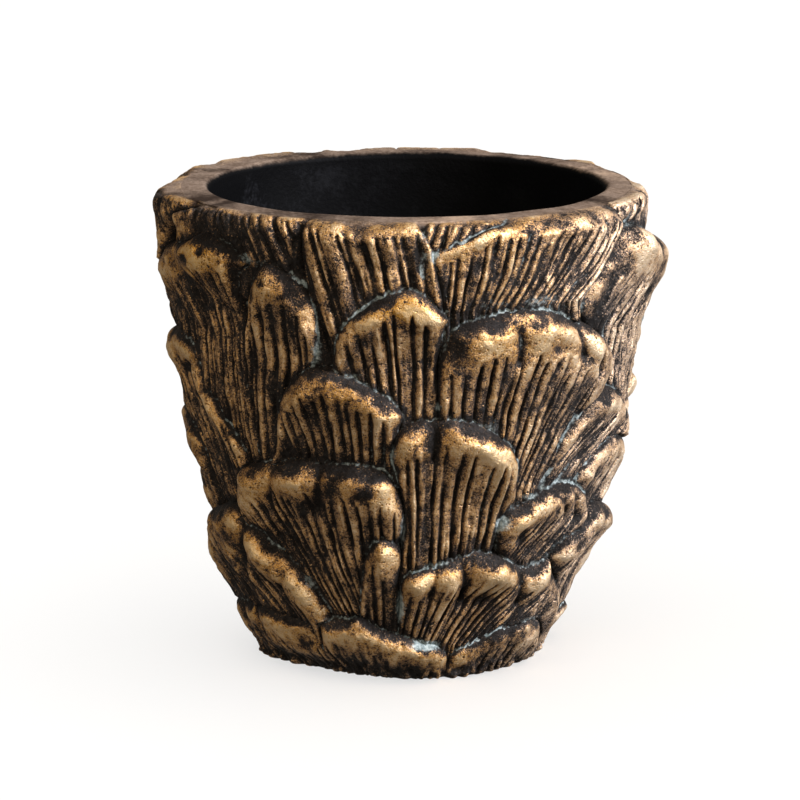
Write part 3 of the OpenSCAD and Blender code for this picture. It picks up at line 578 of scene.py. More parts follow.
# where the dark patina stays (minus) and where the brass is rubbed bright (plus); two minus spots are painted shade
# instead
for (a, z, w, h, tilt, k) in [
        # (53.5, 160) and (11, 150) are painted shade on the left flanks of shoulder_right and upper_front_right, which
        # face away from the light
        (53.5, 160, 6, 13, 8, -.60), (-47, 190, 19, 8, 0, -.26), (-31, 192, 5, 10, 0, -.30), (-51.5, 183, 2.6, 2.4, 0, -.5), (-57, 178.5, 2.8, 2.2, 0, -.4), (11, 150, 6, 10, -20, -.82), (-53, 59, 2.4, 12, -22, -.45), (-20, 137, 11, 4, 0, -.28), (-30, 126, 6, 6, 40, -.20), (-12, 95, 11, 4.5, 0, -.30), (-9, 88, 3.6, 2.8, 0, -.95), (-37.6, 175.3, 2.6, 2.4, 0, -.85),
        (-34, 89, 3.5, 7, 0, -.22), (8, 116, 16, 4, 0, -.25), (7, 109, 3.4, 9, 0, -.75), (26.5, 147, 2.4, 6, 0, -.60), (44, 148, 2.6, 8, 8, -.70), (-27, 165, 5, 12, 0, -.22),
        (-58, 184, 14, 3.5, 0, -.10), (20, 55, 22, 4.2, 0, -.32), (18, 46, 2.6, 8, 0, -.45), (37, 43, 4, 10, 15, -.40), (26, 37, 7, 4, 0, -.30), (35, 19, 18, 5, 8, -.38),
        (-25, 26, 22, 3, 0, -.25), (54, 114, 12, 7, -12, -.40), (60, 88, 7, 7, 0, -.30), (56, 56, 8, 5, 0, -.45), (-7, 58, 4, 4, 30, -.25), (0, 4, 70, 4, 0, -.25),
        (-62, 152, 8, 10, 0, -.10), (-60, 186, 15, 5, -24, .80), (-41, 182, 3.5, 5, 0, -.55), (-50, 179, 9, 6, -26, .24), (-58, 181, 16, 9, -26, -.24), (-42.5, 175, 2.8, 6, 0, -.50), (-42.5, 167, 2.8, 8, 0, -.45), (-68, 165, 10, 9, 0, .10), (-52, 120, 4, 14, 0, -.25), (-66, 45, 14, 8, -30, -.18), (3, 188, 3, 9, 0, -.35), (-26, 188, 3.5, 14, 0, -.35), (-45, 196, 18, 3, 0, -.12),
        (20, 106, 13, 5, -8, .30), (46, 146, 9, 5, -18, .22), (20, 147, 9, 4, 30, .25), (33, 148, 8, 5, 0, .25), (0, 165, 11, 5, 0, .25), (38, 195, 26, 4, 0, .10), (16, 190, 9, 4, 35, .22),
        (-9, 83, 12, 3.5, 0, .28), (-5, 90, 5, 4, 0, .20), (-40, 86, 5, 7, -20, .22), (-29, 88, 6, 5, 0, .18), (-5, 57, 5, 6, 0, .20), (5, 46, 5, 5, 0, -.12), (14, 46, 4, 6, 0, -.04), (6.5, 43, 1.8, 8, 6, .28), (16, 43.5, 2.0, 8, 10, .30), (52, 80, 7, 6, 0, -.16), (0, 109, 6, 6, 0, -.14),
        (28, 43, 11, 4, 0, .36), (-22, 19, 24, 4, 0, .25), (-8, 125, 12, 5, -20, .06), (-24, 124, 10, 5, 20, .02), (-18, 129, 22, 6, 0, -.16), (45, 78, 12, 4, 0, .15), (66, 172, 8, 14, 0, .22), (-35, 169, 7, 8, 0, .46), (-25.5, 160, 4, 8, 0, -.12), (-62, 145, 10, 20, 0, -.13), (20, 50, 26, 8, 0, .10), (15, 32, 22, 14, 0, .06), (-12, 18, 26, 6, 0, .09),
        (-55, 177, 11, 4, 10, .18), (-9, 190, 20, 8, 0, .12), (62, 108, 10, 5, -25, .25), (-45, 55, 10, 4, -40, .20), (-30, 38, 8, 3, -50, .25),
        (-41, 85, 3, 7, 10, -.30), (-24, 86, 3.4, 8, 15, -.36), (-78, 197, 22, 13, 0, -.40), (45, 42, 6, 8, 0, .34), (38, 20, 16, 7, 8, -.22), (25, 165, 18, 3.5, 0, -.12), (-12, 186, 13, 14, 0, .13), (-1, 148, 12, 10, 0, .12), (14, 92, 14, 14, 0, .12), (45, 199, 20, 8, 0, -.34), (0, 165, 14, 6, 0, -.20), (-25, 88, 22, 6, 0, -.14), (22, 47, 20, 6, 0, .07), (-20, 113, 14, 8, 0, .06), (48, 80, 14, 6, 0, -.10), 
        (-62, 46, 4, 5, 0, .20), (-48, 44, 3, 6, -30, -.25), (36, 156, 4, 5, 0, -.22), (14, 109, 3, 4, 0, -.20), (-34, 124, 4, 5, 20, -.22), (-15, 121, 3, 6, 0, -.18)]:
    wear = wear + k * spot(a, z, w, h, tilt)
for (a, z, w, h, tilt, k) in WEAR_B:
    wear = wear + k * spot(a, z, w, h, tilt)
# soft dark patches within the lips, and painted shade that makes the left side darker, away from the light
wear = wear + (0.06 - 0.36 * sstep(0.4, 1.5, noise(101, 8.0)) - 0.22 * sstep(0.5, 1.4, noise(103, 4.5))) * np.clip(1.4 * LIP, 0, 1)
wear = wear - 0.22 * sstep(0.5, 1.4, noise(107, 3.2)) * np.clip(1.4 * LIP, 0, 1) * sstep(36, 28, VG)
TS = TG - 360 * (TG > 180)                   # angle from -180 to 180
wear = wear - 0.045 * sstep(-12, -45, TS) + 0.055 * (1 - LIP) * (1 - shelf) * sstep(-42, -25, TS)

wear = np.maximum(wear, 0.02)
# a thin film of grey dust on the right and in patches on the back; on the right also a painted sheen, which makes the
# brass lighter and greyer where the light falls from the right
haze = sstep(22, 60, TG) * (1 - sstep(90, 120, TG))
haze = np.maximum(haze, 0.8 * sstep(0.0, 1.4, noise(59, 60.0)) * sstep(100, 125, TG) * (1 - sstep(250, 280, TG)))
wear = wear + 0.090 * haze * (1 - 0.6 * shelf)
# strength of the brass's colour: full on the lips and fuller on the left, greyer in the grooves, and greyer on the
# right from the dust and from a painted sheen of the light from the right
sat = 0.92 + 0.11 * blur(LIP, 3.0) - 0.23 * haze + 0.06 * sstep(-20, -60, TS) + 0.14 * spot(-2, 166, 14, 7) + 0.14 * spot(-58, 180, 18, 10) + 0.07 * spot(-16, 128, 18, 8)

# green-blue traces: (angle, height, half-width, half-height, strength)
SPOTS = [(-38, 182, 5, 3, 1), (-21.5, 146, 2.5, 5, .9), (-23, 142, 4, 2, .8), (3, 194, 2.5, 6, .7), (6, 187, 3, 2.5, .9), (26.5, 146, 2, 4, .7),
         (20, 166.5, 9, 2.2, .9), (32, 166.5, 9, 2.6, 1.0), (42, 164, 6, 3.5, .9), (47, 160, 3, 6, .8), (23, 116, 5, 4, .8), (7, 124, 3, 2.5, .7), (28, 70.5, 3.2, 3.4, 1.2), (35, 81.5, 4, 1.8, .8),
         (37.5, 40, 1.8, 7, .8), (-1.5, 34, 2.2, 7, 1.1), (6, 17, 5, 2.2, 1.4), (46, 114, 2.5, 6, .7), (-24, 85, 1.8, 6, .6), (-1, 70, 1.4, 10, .7),
         (-3, 104, 2, 5, .6), (-12, 137, 6, 1.8, .6), (-54, 133, 3, 6, .5), (-50, 98, 8, 3, .4), (-40, 60, 7, 5, .6), (-30, 45, 5, 6, .7), (-30, 27.8, 8, 1.6, .7),
         (8, 55, 8, 2.2, .6), (43, 50, 5, 1.6, .7), (45, 24, 10, 1.8, .6), (48, 85.5, 7, 1.6, .6), (56, 122, 4, 1.6, .5), (47, 171, 2.5, 5, .5), (-62, 198, 4, 2.5, .5),
         (118, 150, 6, 3, .8), (140, 100, 4, 6, .7), (160, 62, 8, 2, .8), (180, 150, 4, 6, .6), (200, 120, 8, 2.5, .7), (215, 66, 5, 4, .8), (236, 160, 6, 2.5, .7), (252, 95, 5, 5, .6), (170, 188, 5, 3, .8)]
gap = COMP - NEXT
gy, gx = np.gradient(gap, STEP, 2 * math.pi * 95.0 / NC)
near = blur(gap / np.clip(np.hypot(gx, gy), 0.6, 4.0), 0.35)          # smooth distance to the seam, mm
line = np.exp(-(near / 0.68) ** 2) * (SD < 3)
verd = line * (0.52 + 0.26 * sstep(-0.6, 0.9, noise(21, 15.0)) + 0.08 * N_SML.clip(-1, 1))
right = sstep(4, 22, TG) * (1 - sstep(78, 100, TG)) * sstep(30, 60, VG)
right = np.maximum(right, 0.65 * sstep(-45, -10, TG - 360 * (TG > 180)) * (1 - sstep(10, 30, TG - 360 * (TG > 180))) * sstep(10, 50, VG))
right = np.maximum(right, 0.7 * sstep(0.2, 1.3, noise(55, 45.0)) * sstep(95, 110, TG) * (1 - sstep(255, 275, TG)))
hollow = np.clip(sstep(0.0, -1.0, c2) * 0.55 + sstep(0.3, -2.0, c3) * 0.35 + 0.25 * np.exp(-SD / 3.0), 0, 1)
verd = np.maximum(verd, right * hollow * (0.30 + 0.12 * noise(57, 12.0).clip(-1.5, 1.5)))
for (a, z, w, h, k) in SPOTS:
    m = spot(a, z, w * 1.6, h * 1.2)
    verd = np.maximum(verd, 0.85 * k * m * (0.40 + 0.60 * np.exp(-SD / 1.8)))
verd = verd * (1 - 0.55 * spot(-57, 189, 15, 5)) * (1 - 0.85 * spot(-25.5, 196, 5, 9)) * (1 - 0.55 * sstep(16, 5, VG))
verd = np.clip(verd * (1 - 0.22 * sstep(-5, -35, TS)), 0, 1.2)

# outer radius of the rim's edge, smooth round the pot
E = np.interp((TH + 180) % 360 - 180, *zip(*RIM_R)) - core_r(ZC)
E = blur(np.repeat(E[None, :], NR, 0), 2.0)[0]

RT = np.random.RandomState(77)
RIM_W = [(RT.randint(2, 20), RT.uniform(-0.3, 0.3), RT.uniform(0, 6.28), RT.uniform(0.015, 0.045)) for _ in range(16)]


def rim_wave(th_deg, r):
    f = 0
    for k, m, ph, a in RIM_W:
        f = f + a * np.sin(k * np.asarray(th_deg) * DEG + m * r + ph)
    return np.clip(f, -0.45, 0.25) - 0.25


# ---------------------------------------------------------------- meshes
def make_mesh(name, verts, quads, tris, attrs, uvs=None, smooth_faces=None):
    me = bpy.data.meshes.new(name)
    nq, nt = len(quads), len(tris)
    me.vertices.add(len(verts))
    me.vertices.foreach_set("co", np.ascontiguousarray(verts, np.float32).ravel())
    loops = np.concatenate([np.asarray(quads, np.int32).reshape(-1), np.asarray(tris, np.int32).reshape(-1)])
    me.loops.add(len(loops))
    me.loops.foreach_set("vertex_index", loops)
    start = np.concatenate([np.arange(nq) * 4, nq * 4 + np.arange(nt) * 3]).astype(np.int32)
    me.polygons.add(nq + nt)
    me.polygons.foreach_set("loop_start", start)
    if smooth_faces is None:
        smooth_faces = np.ones(nq + nt, bool)
    me.polygons.foreach_set("use_smooth", smooth_faces)
    for k, a in attrs.items():
        at = me.attributes.new(k, "FLOAT", "POINT")
        at.data.foreach_set("value", np.ascontiguousarray(a, np.float32))
    if uvs is not None:
        uv = me.uv_layers.new(name="OFBake")
        uv.data.foreach_set("uv", np.ascontiguousarray(uvs, np.float32).ravel())
    me.update(calc_edges=True)
    me.validate()
    ob = bpy.data.objects.new(name, me)
    bpy.context.scene.collection.objects.link(ob)
    return ob


def biggest(mask):
    """Largest connected patch of grid cells."""
    lab = np.zeros(mask.shape, np.int32)
    cur, best, nbest = 0, 0, 0
    todo = mask.copy()
    while True:
        pts = np.argwhere(todo)
        if len(pts) == 0:
            break
        cur += 1
        grow = np.zeros_like(mask)
        grow[tuple(pts[len(pts) // 2])] = True
        while True:
            g2 = grow.copy()
            for _ in range(8):
                g3 = g2.copy()
                g3[1:] |= g2[:-1]
                g3[:-1] |= g2[1:]
                g3[:, 1:] |= g2[:, :-1]
                g3[:, :-1] |= g2[:, 1:]
                g2 = g3 & mask
            if (g2 == grow).all():
                break
            grow = g2
        lab[grow] = cur
        todo &= ~grow
        c = int(grow.sum())
        if c > nbest:
            nbest, best = c, cur
        if cur > 40:
            break
    return lab == best


def tidy(m):
    m = m.copy()
    for _ in range(6):
        # fill one-cell slots, then open diagonal touches
        a = m.copy()
        a[1:-1] |= m[2:] & m[:-2]
        a[:, 1:-1] |= m[:, 2:] & m[:, :-2]
        m = a
        d1 = m[:-1, :-1] & m[1:, 1:] & ~m[:-1, 1:] & ~m[1:, :-1]
        d2 = ~m[:-1, :-1] & ~m[1:, 1:] & m[:-1, 1:] & m[1:, :-1]
        if not d1.any() and not d2.any():
            break
        m[:-1, 1:] |= d1
        m[:-1, :-1] |= d2
    return m


def place(name, H, cols, r0, r1):
    """Points of a scale's face in millimetres, and of its back on the core."""
    th = cols * (360.0 / NC) * DEG
    e = E[cols % NC]
    nr = r1 - r0
    R = np.zeros((nr, len(cols)))
    Z = np.zeros_like(R)
    RB = np.zeros_like(R)
    ZB = np.zeros_like(R)
    for i in range(nr):
        j = r0 + i
        if j < NW:
            z = V[j]
            # the foot of the pot is slightly rounded
            cut = 1.6 * (1 - math.sqrt(max(0.0, 1 - (1 - min(z, 2.0) / 2.0) ** 2))) if z < 2 else 0
            R[i] = core_r(z) + np.maximum(H[i] - cut, 0.2)
            Z[i] = z
            RB[i], ZB[i] = core_r(z) + 0.06, z
        else:
            d = np.clip(H[i] - e, -6.8, 1.5)
            edge = core_r(ZC) + e
            if j < NW + n_arc:
                a = arc_a[j - NW]
                R[i] = edge - RHO + (RHO + d) * math.cos(a)
                Z[i] = ZC + (RHO + d) * math.sin(a) + rim_wave(th / DEG, R[i]) * math.sin(a) ** 2
                zb = ZC + (RHO - 1.2) * (j - NW + 1) / n_arc
            else:
                w = flat_w[j - NW - n_arc]
                R[i] = (edge - RHO) * (1 - w) + 94.6 * w
                Z[i] = 200.0 + np.clip(d, -6.8, 0.3) * (1 - w) ** 2 + rim_wave(th / DEG, R[i])
                zb = 200 - 1.2 + 0.75 * w
            RB[i], ZB[i] = min(94.55, core_r(min(zb, 200.0)) + 0.06), zb
            Z[i] = np.clip(Z[i], zb + 0.05, 200.0)
            R[i] = np.maximum(R[i], RB[i] + 0.03)
    s, c = np.sin(th)[None, :], -np.cos(th)[None, :]
    # nothing stands further out than the solids do
    lim = np.minimum(np.where(s > 0, 110.3, 108.3) / np.maximum(np.abs(s), 1e-6), np.where(c > 0, 106.85, 106.15) / np.maximum(np.abs(c), 1e-6)) - 1.6
    R = np.where(R > lim, lim + 1.6 * np.tanh((R - lim) / 1.6), R)
    P = np.stack([R * s, R * c, Z], -1)
    B = np.stack([RB * s, RB * c, ZB], -1)
    return P, B


dustf = np.repeat(dust_k(TH, 61)[None, :], NR, 0)
PIECES = {}
for name in NAMES:
    p = S[name]
    H, F, cols, r0, r1 = p["H"], p["F"], p["cols"], p["r0"], p["r1"]
    cc = cols % NC
    comp = COMP[r0:r1][:, cc]
    seen = (comp - H < 0.05) & (F > -0.5)
    keep = seen.copy()
    for _ in range(int(round(3.0 / STEP))):            # a margin that runs on under the neighbours
        k2 = keep.copy()
        k2[1:] |= keep[:-1]
        k2[:-1] |= keep[1:]
        k2[:, 1:] |= keep[:, :-1]
        k2[:, :-1] |= keep[:, 1:]
        keep = k2
    keep &= F > -1.0
    cell = keep[:-1, :-1] & keep[1:, :-1] & keep[:-1, 1:] & keep[1:, 1:]
    cell = tidy(biggest(tidy(cell)))
    used = np.zeros(keep.shape, bool)
    used[:-1, :-1] |= cell
    used[1:, :-1] |= cell
    used[:-1, 1:] |= cell
    used[1:, 1:] |= cell
    P, B = place(name, H, cols, r0, r1)
    vid = -np.ones(used.shape, np.int64)
    nv = int(used.sum())
    vid[used] = np.arange(nv)
    ci, cj = np.nonzero(cell)
    quads = np.stack([vid[ci, cj], vid[ci, cj + 1], vid[ci + 1, cj + 1], vid[ci + 1, cj]], -1)
    # boundary edges, directed with the patch on their left
    pad = np.pad(cell, 1)
    nxt = {}
    bi, bj = np.nonzero(cell & ~pad[:-2, 1:-1])
    for i, j in zip(bi, bj):
        nxt.setdefault((i, j), []).append((i, j + 1))
    bi, bj = np.nonzero(cell & ~pad[2:, 1:-1])
    for i, j in zip(bi, bj):
        nxt.setdefault((i + 1, j + 1), []).append((i + 1, j))
    bi, bj = np.nonzero(cell & ~pad[1:-1, :-2])
    for i, j in zip(bi, bj):
        nxt.setdefault((i + 1, j), []).append((i, j))
    bi, bj = np.nonzero(cell & ~pad[1:-1, 2:])
    for i, j in zip(bi, bj):
        nxt.setdefault((i, j + 1), []).append((i + 1, j + 1))
    loops = []
    while nxt:
        a = next(iter(nxt))
        lp = [a]
        cur = nxt[a].pop()
        if not nxt[a]:
            del nxt[a]
        while cur != a:
            lp.append(cur)
            b = nxt[cur].pop()
            if not nxt[cur]:
                del nxt[cur]
            cur = b
        loops.append(lp)
    # back: the same rim of points laid on the core, filled with a coarse net
    bpos, bkey = [], {}
    for lp in loops:
        for q in lp:
            bkey[q] = len(bpos)
            bpos.append(q)
    edges2 = []
    for lp in loops:
        for k in range(len(lp)):
            edges2.append((bkey[lp[k]], bkey[lp[(k + 1) % len(lp)]]))
    nb_ = len(bpos)
    g = 10
    inner = np.zeros(used.shape, bool)
    full = np.zeros(used.shape, bool)
    full[1:-1, 1:-1] = cell[:-1, :-1] & cell[1:, :-1] & cell[:-1, 1:] & cell[1:, 1:]
    for _ in range(2):
        f2 = full.copy()
        f2[1:] &= full[:-1]
        f2[:-1] &= full[1:]
        f2[:, 1:] &= full[:, :-1]
        f2[:, :-1] &= full[:, 1:]
        full = f2
    inner[::g, ::g] = full[::g, ::g]
    for q in np.argwhere(inner):
        bpos.append((int(q[0]), int(q[1])))
    cscale = (360.0 / NC) * DEG * 95 / STEP
    co2 = [Vector((float(q[1]) * cscale, float(q[0]))) for q in bpos]
    vo, eo, fo, ov, oe, of_ = delaunay_2d_cdt(co2, edges2, [], 1, 1e-5)
    back_of = {}
    for k, src in enumerate(ov):
        back_of[k] = src[0] if src else None
    # the fill may cross a hole between two loops: keep triangles whose middle lies on the patch
    tb = []
    for f in fo:
        if any(back_of[k] is None for k in f):
            continue
        m = np.mean([bpos[back_of[k]] for k in f], 0)
        i, j = int(math.floor(m[0])), int(math.floor(m[1]))
        if 0 <= i < cell.shape[0] and 0 <= j < cell.shape[1] and cell[i, j]:
            tb.append([back_of[k] for k in f])
    front_pts = P[used]
    back_pts = np.array([B[q] for q in bpos])
    tri = np.array(tb, np.int64).reshape(-1, 3)
    # turn the back's triangles towards the core
    pa, pb, pc = back_pts[tri[:, 0]], back_pts[tri[:, 1]], back_pts[tri[:, 2]]
    nrm = np.cross(pb - pa, pc - pa)
    mid = (pa + pb + pc) / 3
    flip = (nrm[:, 0] * mid[:, 0] + nrm[:, 1] * mid[:, 1]) > 0
    tri[flip] = tri[flip][:, ::-1]
    tri = tri + nv
    walls = []
    for lp in loops:
        for k in range(len(lp)):
            a, b = lp[k], lp[(k + 1) % len(lp)]
            walls.append((vid[b], vid[a], nv + bkey[a], nv + bkey[b]))
    walls = np.array(walls, np.int64)
    verts = np.concatenate([front_pts, back_pts], 0) * 0.001
    allq = np.concatenate([quads, walls], 0)
    smooth = np.concatenate([np.ones(len(quads), bool), np.zeros(len(walls) + len(tri), bool)])
    attrs = {}
    for key, field, low in (("wear", wear, 0.05), ("verd", verd, 0.0), ("rimf", rimf, 0.0), ("dustk", dustf, 0.0), ("haze", haze, 0.0), ("sat", sat, 0.8)):
        a = field[r0:r1][:, cc][used]
        attrs[key] = np.concatenate([a, np.full(len(back_pts), low)])
    # flat map for the finish: face above, edges and back in a strip below
    uvg = np.zeros(used.shape + (2,))
    uvg[..., 0] = (0.01 + 0.98 * np.arange(used.shape[1]) / (used.shape[1] - 1))[None, :]
    uvg[..., 1] = (0.08 + 0.91 * np.arange(used.shape[0]) / (used.shape[0] - 1))[:, None]
    uf = uvg[used]
    ub = np.array([uvg[q] for q in bpos])
    ub = np.stack([ub[:, 0], 0.002 + (ub[:, 1] - 0.08) * 0.045], -1)
    uq = uf[quads.reshape(-1)]
    uw = []
    for lp in loops:
        L = len(lp)
        for k in range(L):
            uw += [((k + 1) / L, 0.068), (k / L, 0.068), (k / L, 0.052), ((k + 1) / L, 0.052)]
    uvs = np.concatenate([uq, np.array(uw).reshape(-1, 2), ub[(tri - nv).reshape(-1)]], 0)
    ob = make_mesh(name + "_visual", verts, allq, tri, attrs, uvs, smooth)
    PIECES[name] = ob
    p.clear()

# ---------------------------------------------------------------- core
NCC = 720
prof = [(51.9, 0.0, 0)]
for z in np.arange(4, 197, 6.0):
    prof.append((float(core_r(z)) - 0.02, float(z), 0))
prof += [(94.9, 198.0, 0), (95.8, 199.2, 1), (95.5, 199.75, 1), (95.0, 199.93, 1)]
for r in np.arange(94.6, 86.2, -0.5):
    prof.append((float(r), 199.97, 1))
RI = 3.0
for a in range(84, -1, -7):
    prof.append((83.0 + RI - RI * math.cos(math.radians(a)), 200.0 - RI + RI * math.sin(math.radians(a)), 1))
for z in list(np.arange(193.5, 32, -2.5)):
    prof.append((float(core_r(z)) - 12.0, float(z), 2))
fr_ = float(core_r(30)) - 12
for a in range(0, 91, 10):
    prof.append((fr_ - 8 + 8 * math.cos(math.radians(a)), 30 - 8 * math.sin(math.radians(a)), 3))
for r in np.arange(fr_ - 12, 3, -4.0):
    prof.append((float(r), 22.0, 3))
prof = np.array(prof)
thc = np.arange(NCC) * (360.0 / NCC)
NP = len(prof)
CW = noise(31, 30.0)
R = np.repeat(prof[:, 0][:, None], NCC, 1)
Z = np.repeat(prof[:, 1][:, None], NCC, 1)
for i in range(NP):
    k = prof[i, 2]
    cidx = (thc / 360.0 * NC).astype(int) % NC
    if k == 1:
        Z[i] += rim_wave(thc, R[i]) * min(1.0, max(0.0, (prof[i, 1] - 195.4) / 4.0))
        R[i] += 0.35 * CW[NR // 2, cidx] * (1 if prof[i, 0] < 88 else 0) * min(1.0, max(0.0, (88 - prof[i, 0]) / 3))
    elif k == 2:
        row = min(NR - 1, int(prof[i, 1] / STEP))
        R[i] += 0.35 * CW[NR // 2, cidx] * sstep(150, 193, prof[i, 1]) + 0.25 * CW[row, cidx]
# the mouth sits a little towards the back
off = 2.6 * (sstep(94.0, 86.0, prof[:, 0]) * (prof[:, 2] == 1) + sstep(120, 194, prof[:, 1]) * (prof[:, 2] == 2))[:, None]
YS = -R * np.cos(thc * DEG)[None, :] + off
vv = np.stack([R * np.sin(thc * DEG)[None, :], YS, Z], -1).reshape(-1, 3)
bot, flo = len(vv), len(vv) + 1
vv = np.concatenate([vv, [[0, 0, 0], [0, 0, 22.0]]], 0)
i, j = np.meshgrid(np.arange(NP - 1), np.arange(NCC), indexing="ij")
i, j = i.ravel(), j.ravel()
jn = (j + 1) % NCC
q = np.stack([i * NCC + j, i * NCC + jn, (i + 1) * NCC + jn, (i + 1) * NCC + j], -1)
jj = np.arange(NCC)
t1 = np.stack([np.full(NCC, bot), (jj + 1) % NCC, jj], -1)
t2 = np.stack([(NP - 1) * NCC + jj, (NP - 1) * NCC + (jj + 1) % NCC, np.full(NCC, flo)], -1)
# brown dust on the rim's top, black from the mouth's edge inwards
turn = 0.5 - 0.5 * np.cos(thc * DEG)                      # 0 at the front, 1 at the back
rr = np.hypot(R * np.sin(thc * DEG)[None, :], YS - 2.6 * turn[None, :])
down = rr + np.where(prof[:, 2] == 1, prof[:, 1] - 200.0, 0.0)[:, None] - np.where(prof[:, 2] >= 2, 200.0 - prof[:, 1], 0.0)[:, None]
left_ = np.exp(-(((thc - 222 + 180) % 360 - 180) / 38.0) ** 2)
edge_in = 82.6 + 1.6 * turn - 0.8 * left_
rs = np.random.RandomState(19)
streak = np.interp(thc, np.arange(0, 361, 1.0), np.resize(rs.normal(size=360), 361)) * 0.20 + np.interp(thc, np.arange(0, 361, 4.0), np.resize(rs.normal(size=90), 91)) * 0.30
zone = sstep(-2.0, 2.4, (down - edge_in[None, :] + streak[None, :]) / (1.0 + 0.6 * turn)[None, :]) * (prof[:, 2] >= 1)[:, None] * (1 - 0.22 * turn ** 2)[None, :]
zone = np.concatenate([zone.ravel(), [0, 0]])
dust_and_sheen_left = 0.12 + 0.88 * np.exp(-(((thc - 252 + 180) % 360 - 180) / 42.0) ** 2)      # more on the left: partly dust, partly painted sheen on the inside wall that faces the light from the right
inside = np.concatenate([((prof[:, 2] >= 2).astype(float)[:, None] * dust_and_sheen_left[None, :]).ravel(), [0, 0.2]])
gild = sstep(84, 96, rr) * (prof[:, 2] == 1)[:, None] * (0.04 + 0.34 * np.interp(thc, TH, side))[None, :]
gild = np.concatenate([gild.ravel(), [0, 0]])
dk = np.repeat(dust_k(thc, 61)[None, :], NP, 0) + 0.12 * CW[NR // 3, cidx][None, :]
dk = np.concatenate([dk.ravel(), [0, 0]])
core = make_mesh("pot_core_visual", vv * 0.001, q, np.concatenate([t1, t2], 0), {"rimf": zone, "inside": inside, "gild": gild, "dustk": dk})

# ---------------------------------------------------------------- finish
def nodes_of(mat):
    mat.use_nodes = True
    nt = mat.node_tree
    for n in list(nt.nodes):
        nt.nodes.remove(n)
    return nt


class Net:
    """Short names for building a node tree."""

    def __init__(self, mat):
        self.t = nodes_of(mat)
        self.co = self.t.nodes.new("ShaderNodeTexCoord").outputs["Object"]

    def put(self, sock, v):
        if isinstance(v, bpy.types.NodeSocket):
            self.t.links.new(v, sock)
        else:
            sock.default_value = v

    def attr(self, name):
        n = self.t.nodes.new("ShaderNodeAttribute")
        n.attribute_name = name
        return n.outputs["Fac"]

    def math(self, op, a, b=0.0, c=0.0, clamp=False):
        n = self.t.nodes.new("ShaderNodeMath")
        n.operation = op
        n.use_clamp = clamp
        for s_, v_ in zip(n.inputs, (a, b, c)):
            self.put(s_, v_)
        return n.outputs[0]

    def noise(self, scale, detail=2.0, rough=0.55, dist=0.0, co=None):
        n = self.t.nodes.new("ShaderNodeTexNoise")
        self.put(n.inputs["Vector"], co or self.co)
        n.inputs["Scale"].default_value = scale
        n.inputs["Detail"].default_value = detail
        n.inputs["Roughness"].default_value = rough
        n.inputs["Distortion"].default_value = dist
        return n.outputs["Fac"]

    def voronoi(self, scale, rand=1.0):
        n = self.t.nodes.new("ShaderNodeTexVoronoi")
        self.put(n.inputs["Vector"], self.co)
        n.inputs["Scale"].default_value = scale
        n.inputs["Randomness"].default_value = rand
        return n.outputs["Distance"]

    def ramp(self, v, lo, hi, a=0.0, b=1.0):
        n = self.t.nodes.new("ShaderNodeMapRange")
        n.interpolation_type = "SMOOTHSTEP"
        self.put(n.inputs["Value"], v)
        n.inputs["From Min"].default_value = lo
        n.inputs["From Max"].default_value = hi
        n.inputs["To Min"].default_value = a
        n.inputs["To Max"].default_value = b
        return n.outputs["Result"]

    def mix(self, f, a, b):
        n = self.t.nodes.new("ShaderNodeMix")
        n.data_type = "RGBA"
        self.put(n.inputs[0], f)
        for s_, v_ in ((n.inputs[6], a), (n.inputs[7], b)):
            if isinstance(v_, bpy.types.NodeSocket):
                self.t.links.new(v_, s_)
            else:
                s_.default_value = (*v_, 1.0)
        return n.outputs[2]

    def mixf(self, f, a, b):
        n = self.t.nodes.new("ShaderNodeMix")
        n.data_type = "FLOAT"
        self.put(n.inputs[0], f)
        self.put(n.inputs[2], a)
        self.put(n.inputs[3], b)
        return n.outputs[0]

    def bump(self, h, dist, strength=1.0, normal=None):
        n = self.t.nodes.new("ShaderNodeBump")
        n.inputs["Strength"].default_value = strength
        n.inputs["Distance"].default_value = dist
        self.put(n.inputs["Height"], h)
        if normal is not None:
            self.put(n.inputs["Normal"], normal)
        return n.outputs["Normal"]

    def shader(self, color, rough, metal, normal):
        b = self.t.nodes.new("ShaderNodeBsdfPrincipled")
        self.put(b.inputs["Base Color"], color)
        self.put(b.inputs["Roughness"], rough)
        self.put(b.inputs["Metallic"], metal)
        self.put(b.inputs["Normal"], normal)
        o = self.t.nodes.new("ShaderNodeOutputMaterial")
        self.t.links.new(b.outputs[0], o.inputs[0])
        return b


DARK = (0.0135, 0.0102, 0.0085)
DARK_B = (0.0225, 0.0195, 0.0182)
UMBER = (0.047, 0.0268, 0.0152)
BROWN = (0.162, 0.0885, 0.0440)
BRASS = (0.54, 0.300, 0.112)
BRIGHT = (0.715, 0.515, 0.297)
VERD = (0.170, 0.212, 0.215)
VERD_L = (0.38, 0.43, 0.42)
DUST = (0.205, 0.150, 0.112)
DUST_D = (0.110, 0.074, 0.052)
DUST_DD = (0.024, 0.0150, 0.0105)
DUST_L = (0.36, 0.252, 0.172)

brass = bpy.data.materials.new("antique_brass_patina")
m = Net(brass)
w0, vd, rf = m.attr("wear"), m.attr("verd"), m.attr("rimf")
n_f = m.noise(1700, 2, 0.6)
n_m = m.noise(560, 3, 0.6)
n_c = m.noise(210, 2, 0.5)
n_l = m.noise(90, 3, 0.55)
pit = m.voronoi(700)
pit2 = m.voronoi(300)
n_ff = m.noise(3300, 2, 0.6)
w1 = m.math("MULTIPLY_ADD", m.math("SUBTRACT", n_f, 0.5), 1.30, w0)
w1 = m.math("MULTIPLY_ADD", m.math("SUBTRACT", n_ff, 0.5), 1.25, w1)
w1 = m.math("MULTIPLY_ADD", m.math("SUBTRACT", n_m, 0.5), 0.62, w1)
w1 = m.math("MULTIPLY_ADD", m.math("SUBTRACT", n_l, 0.5), 0.75, w1)
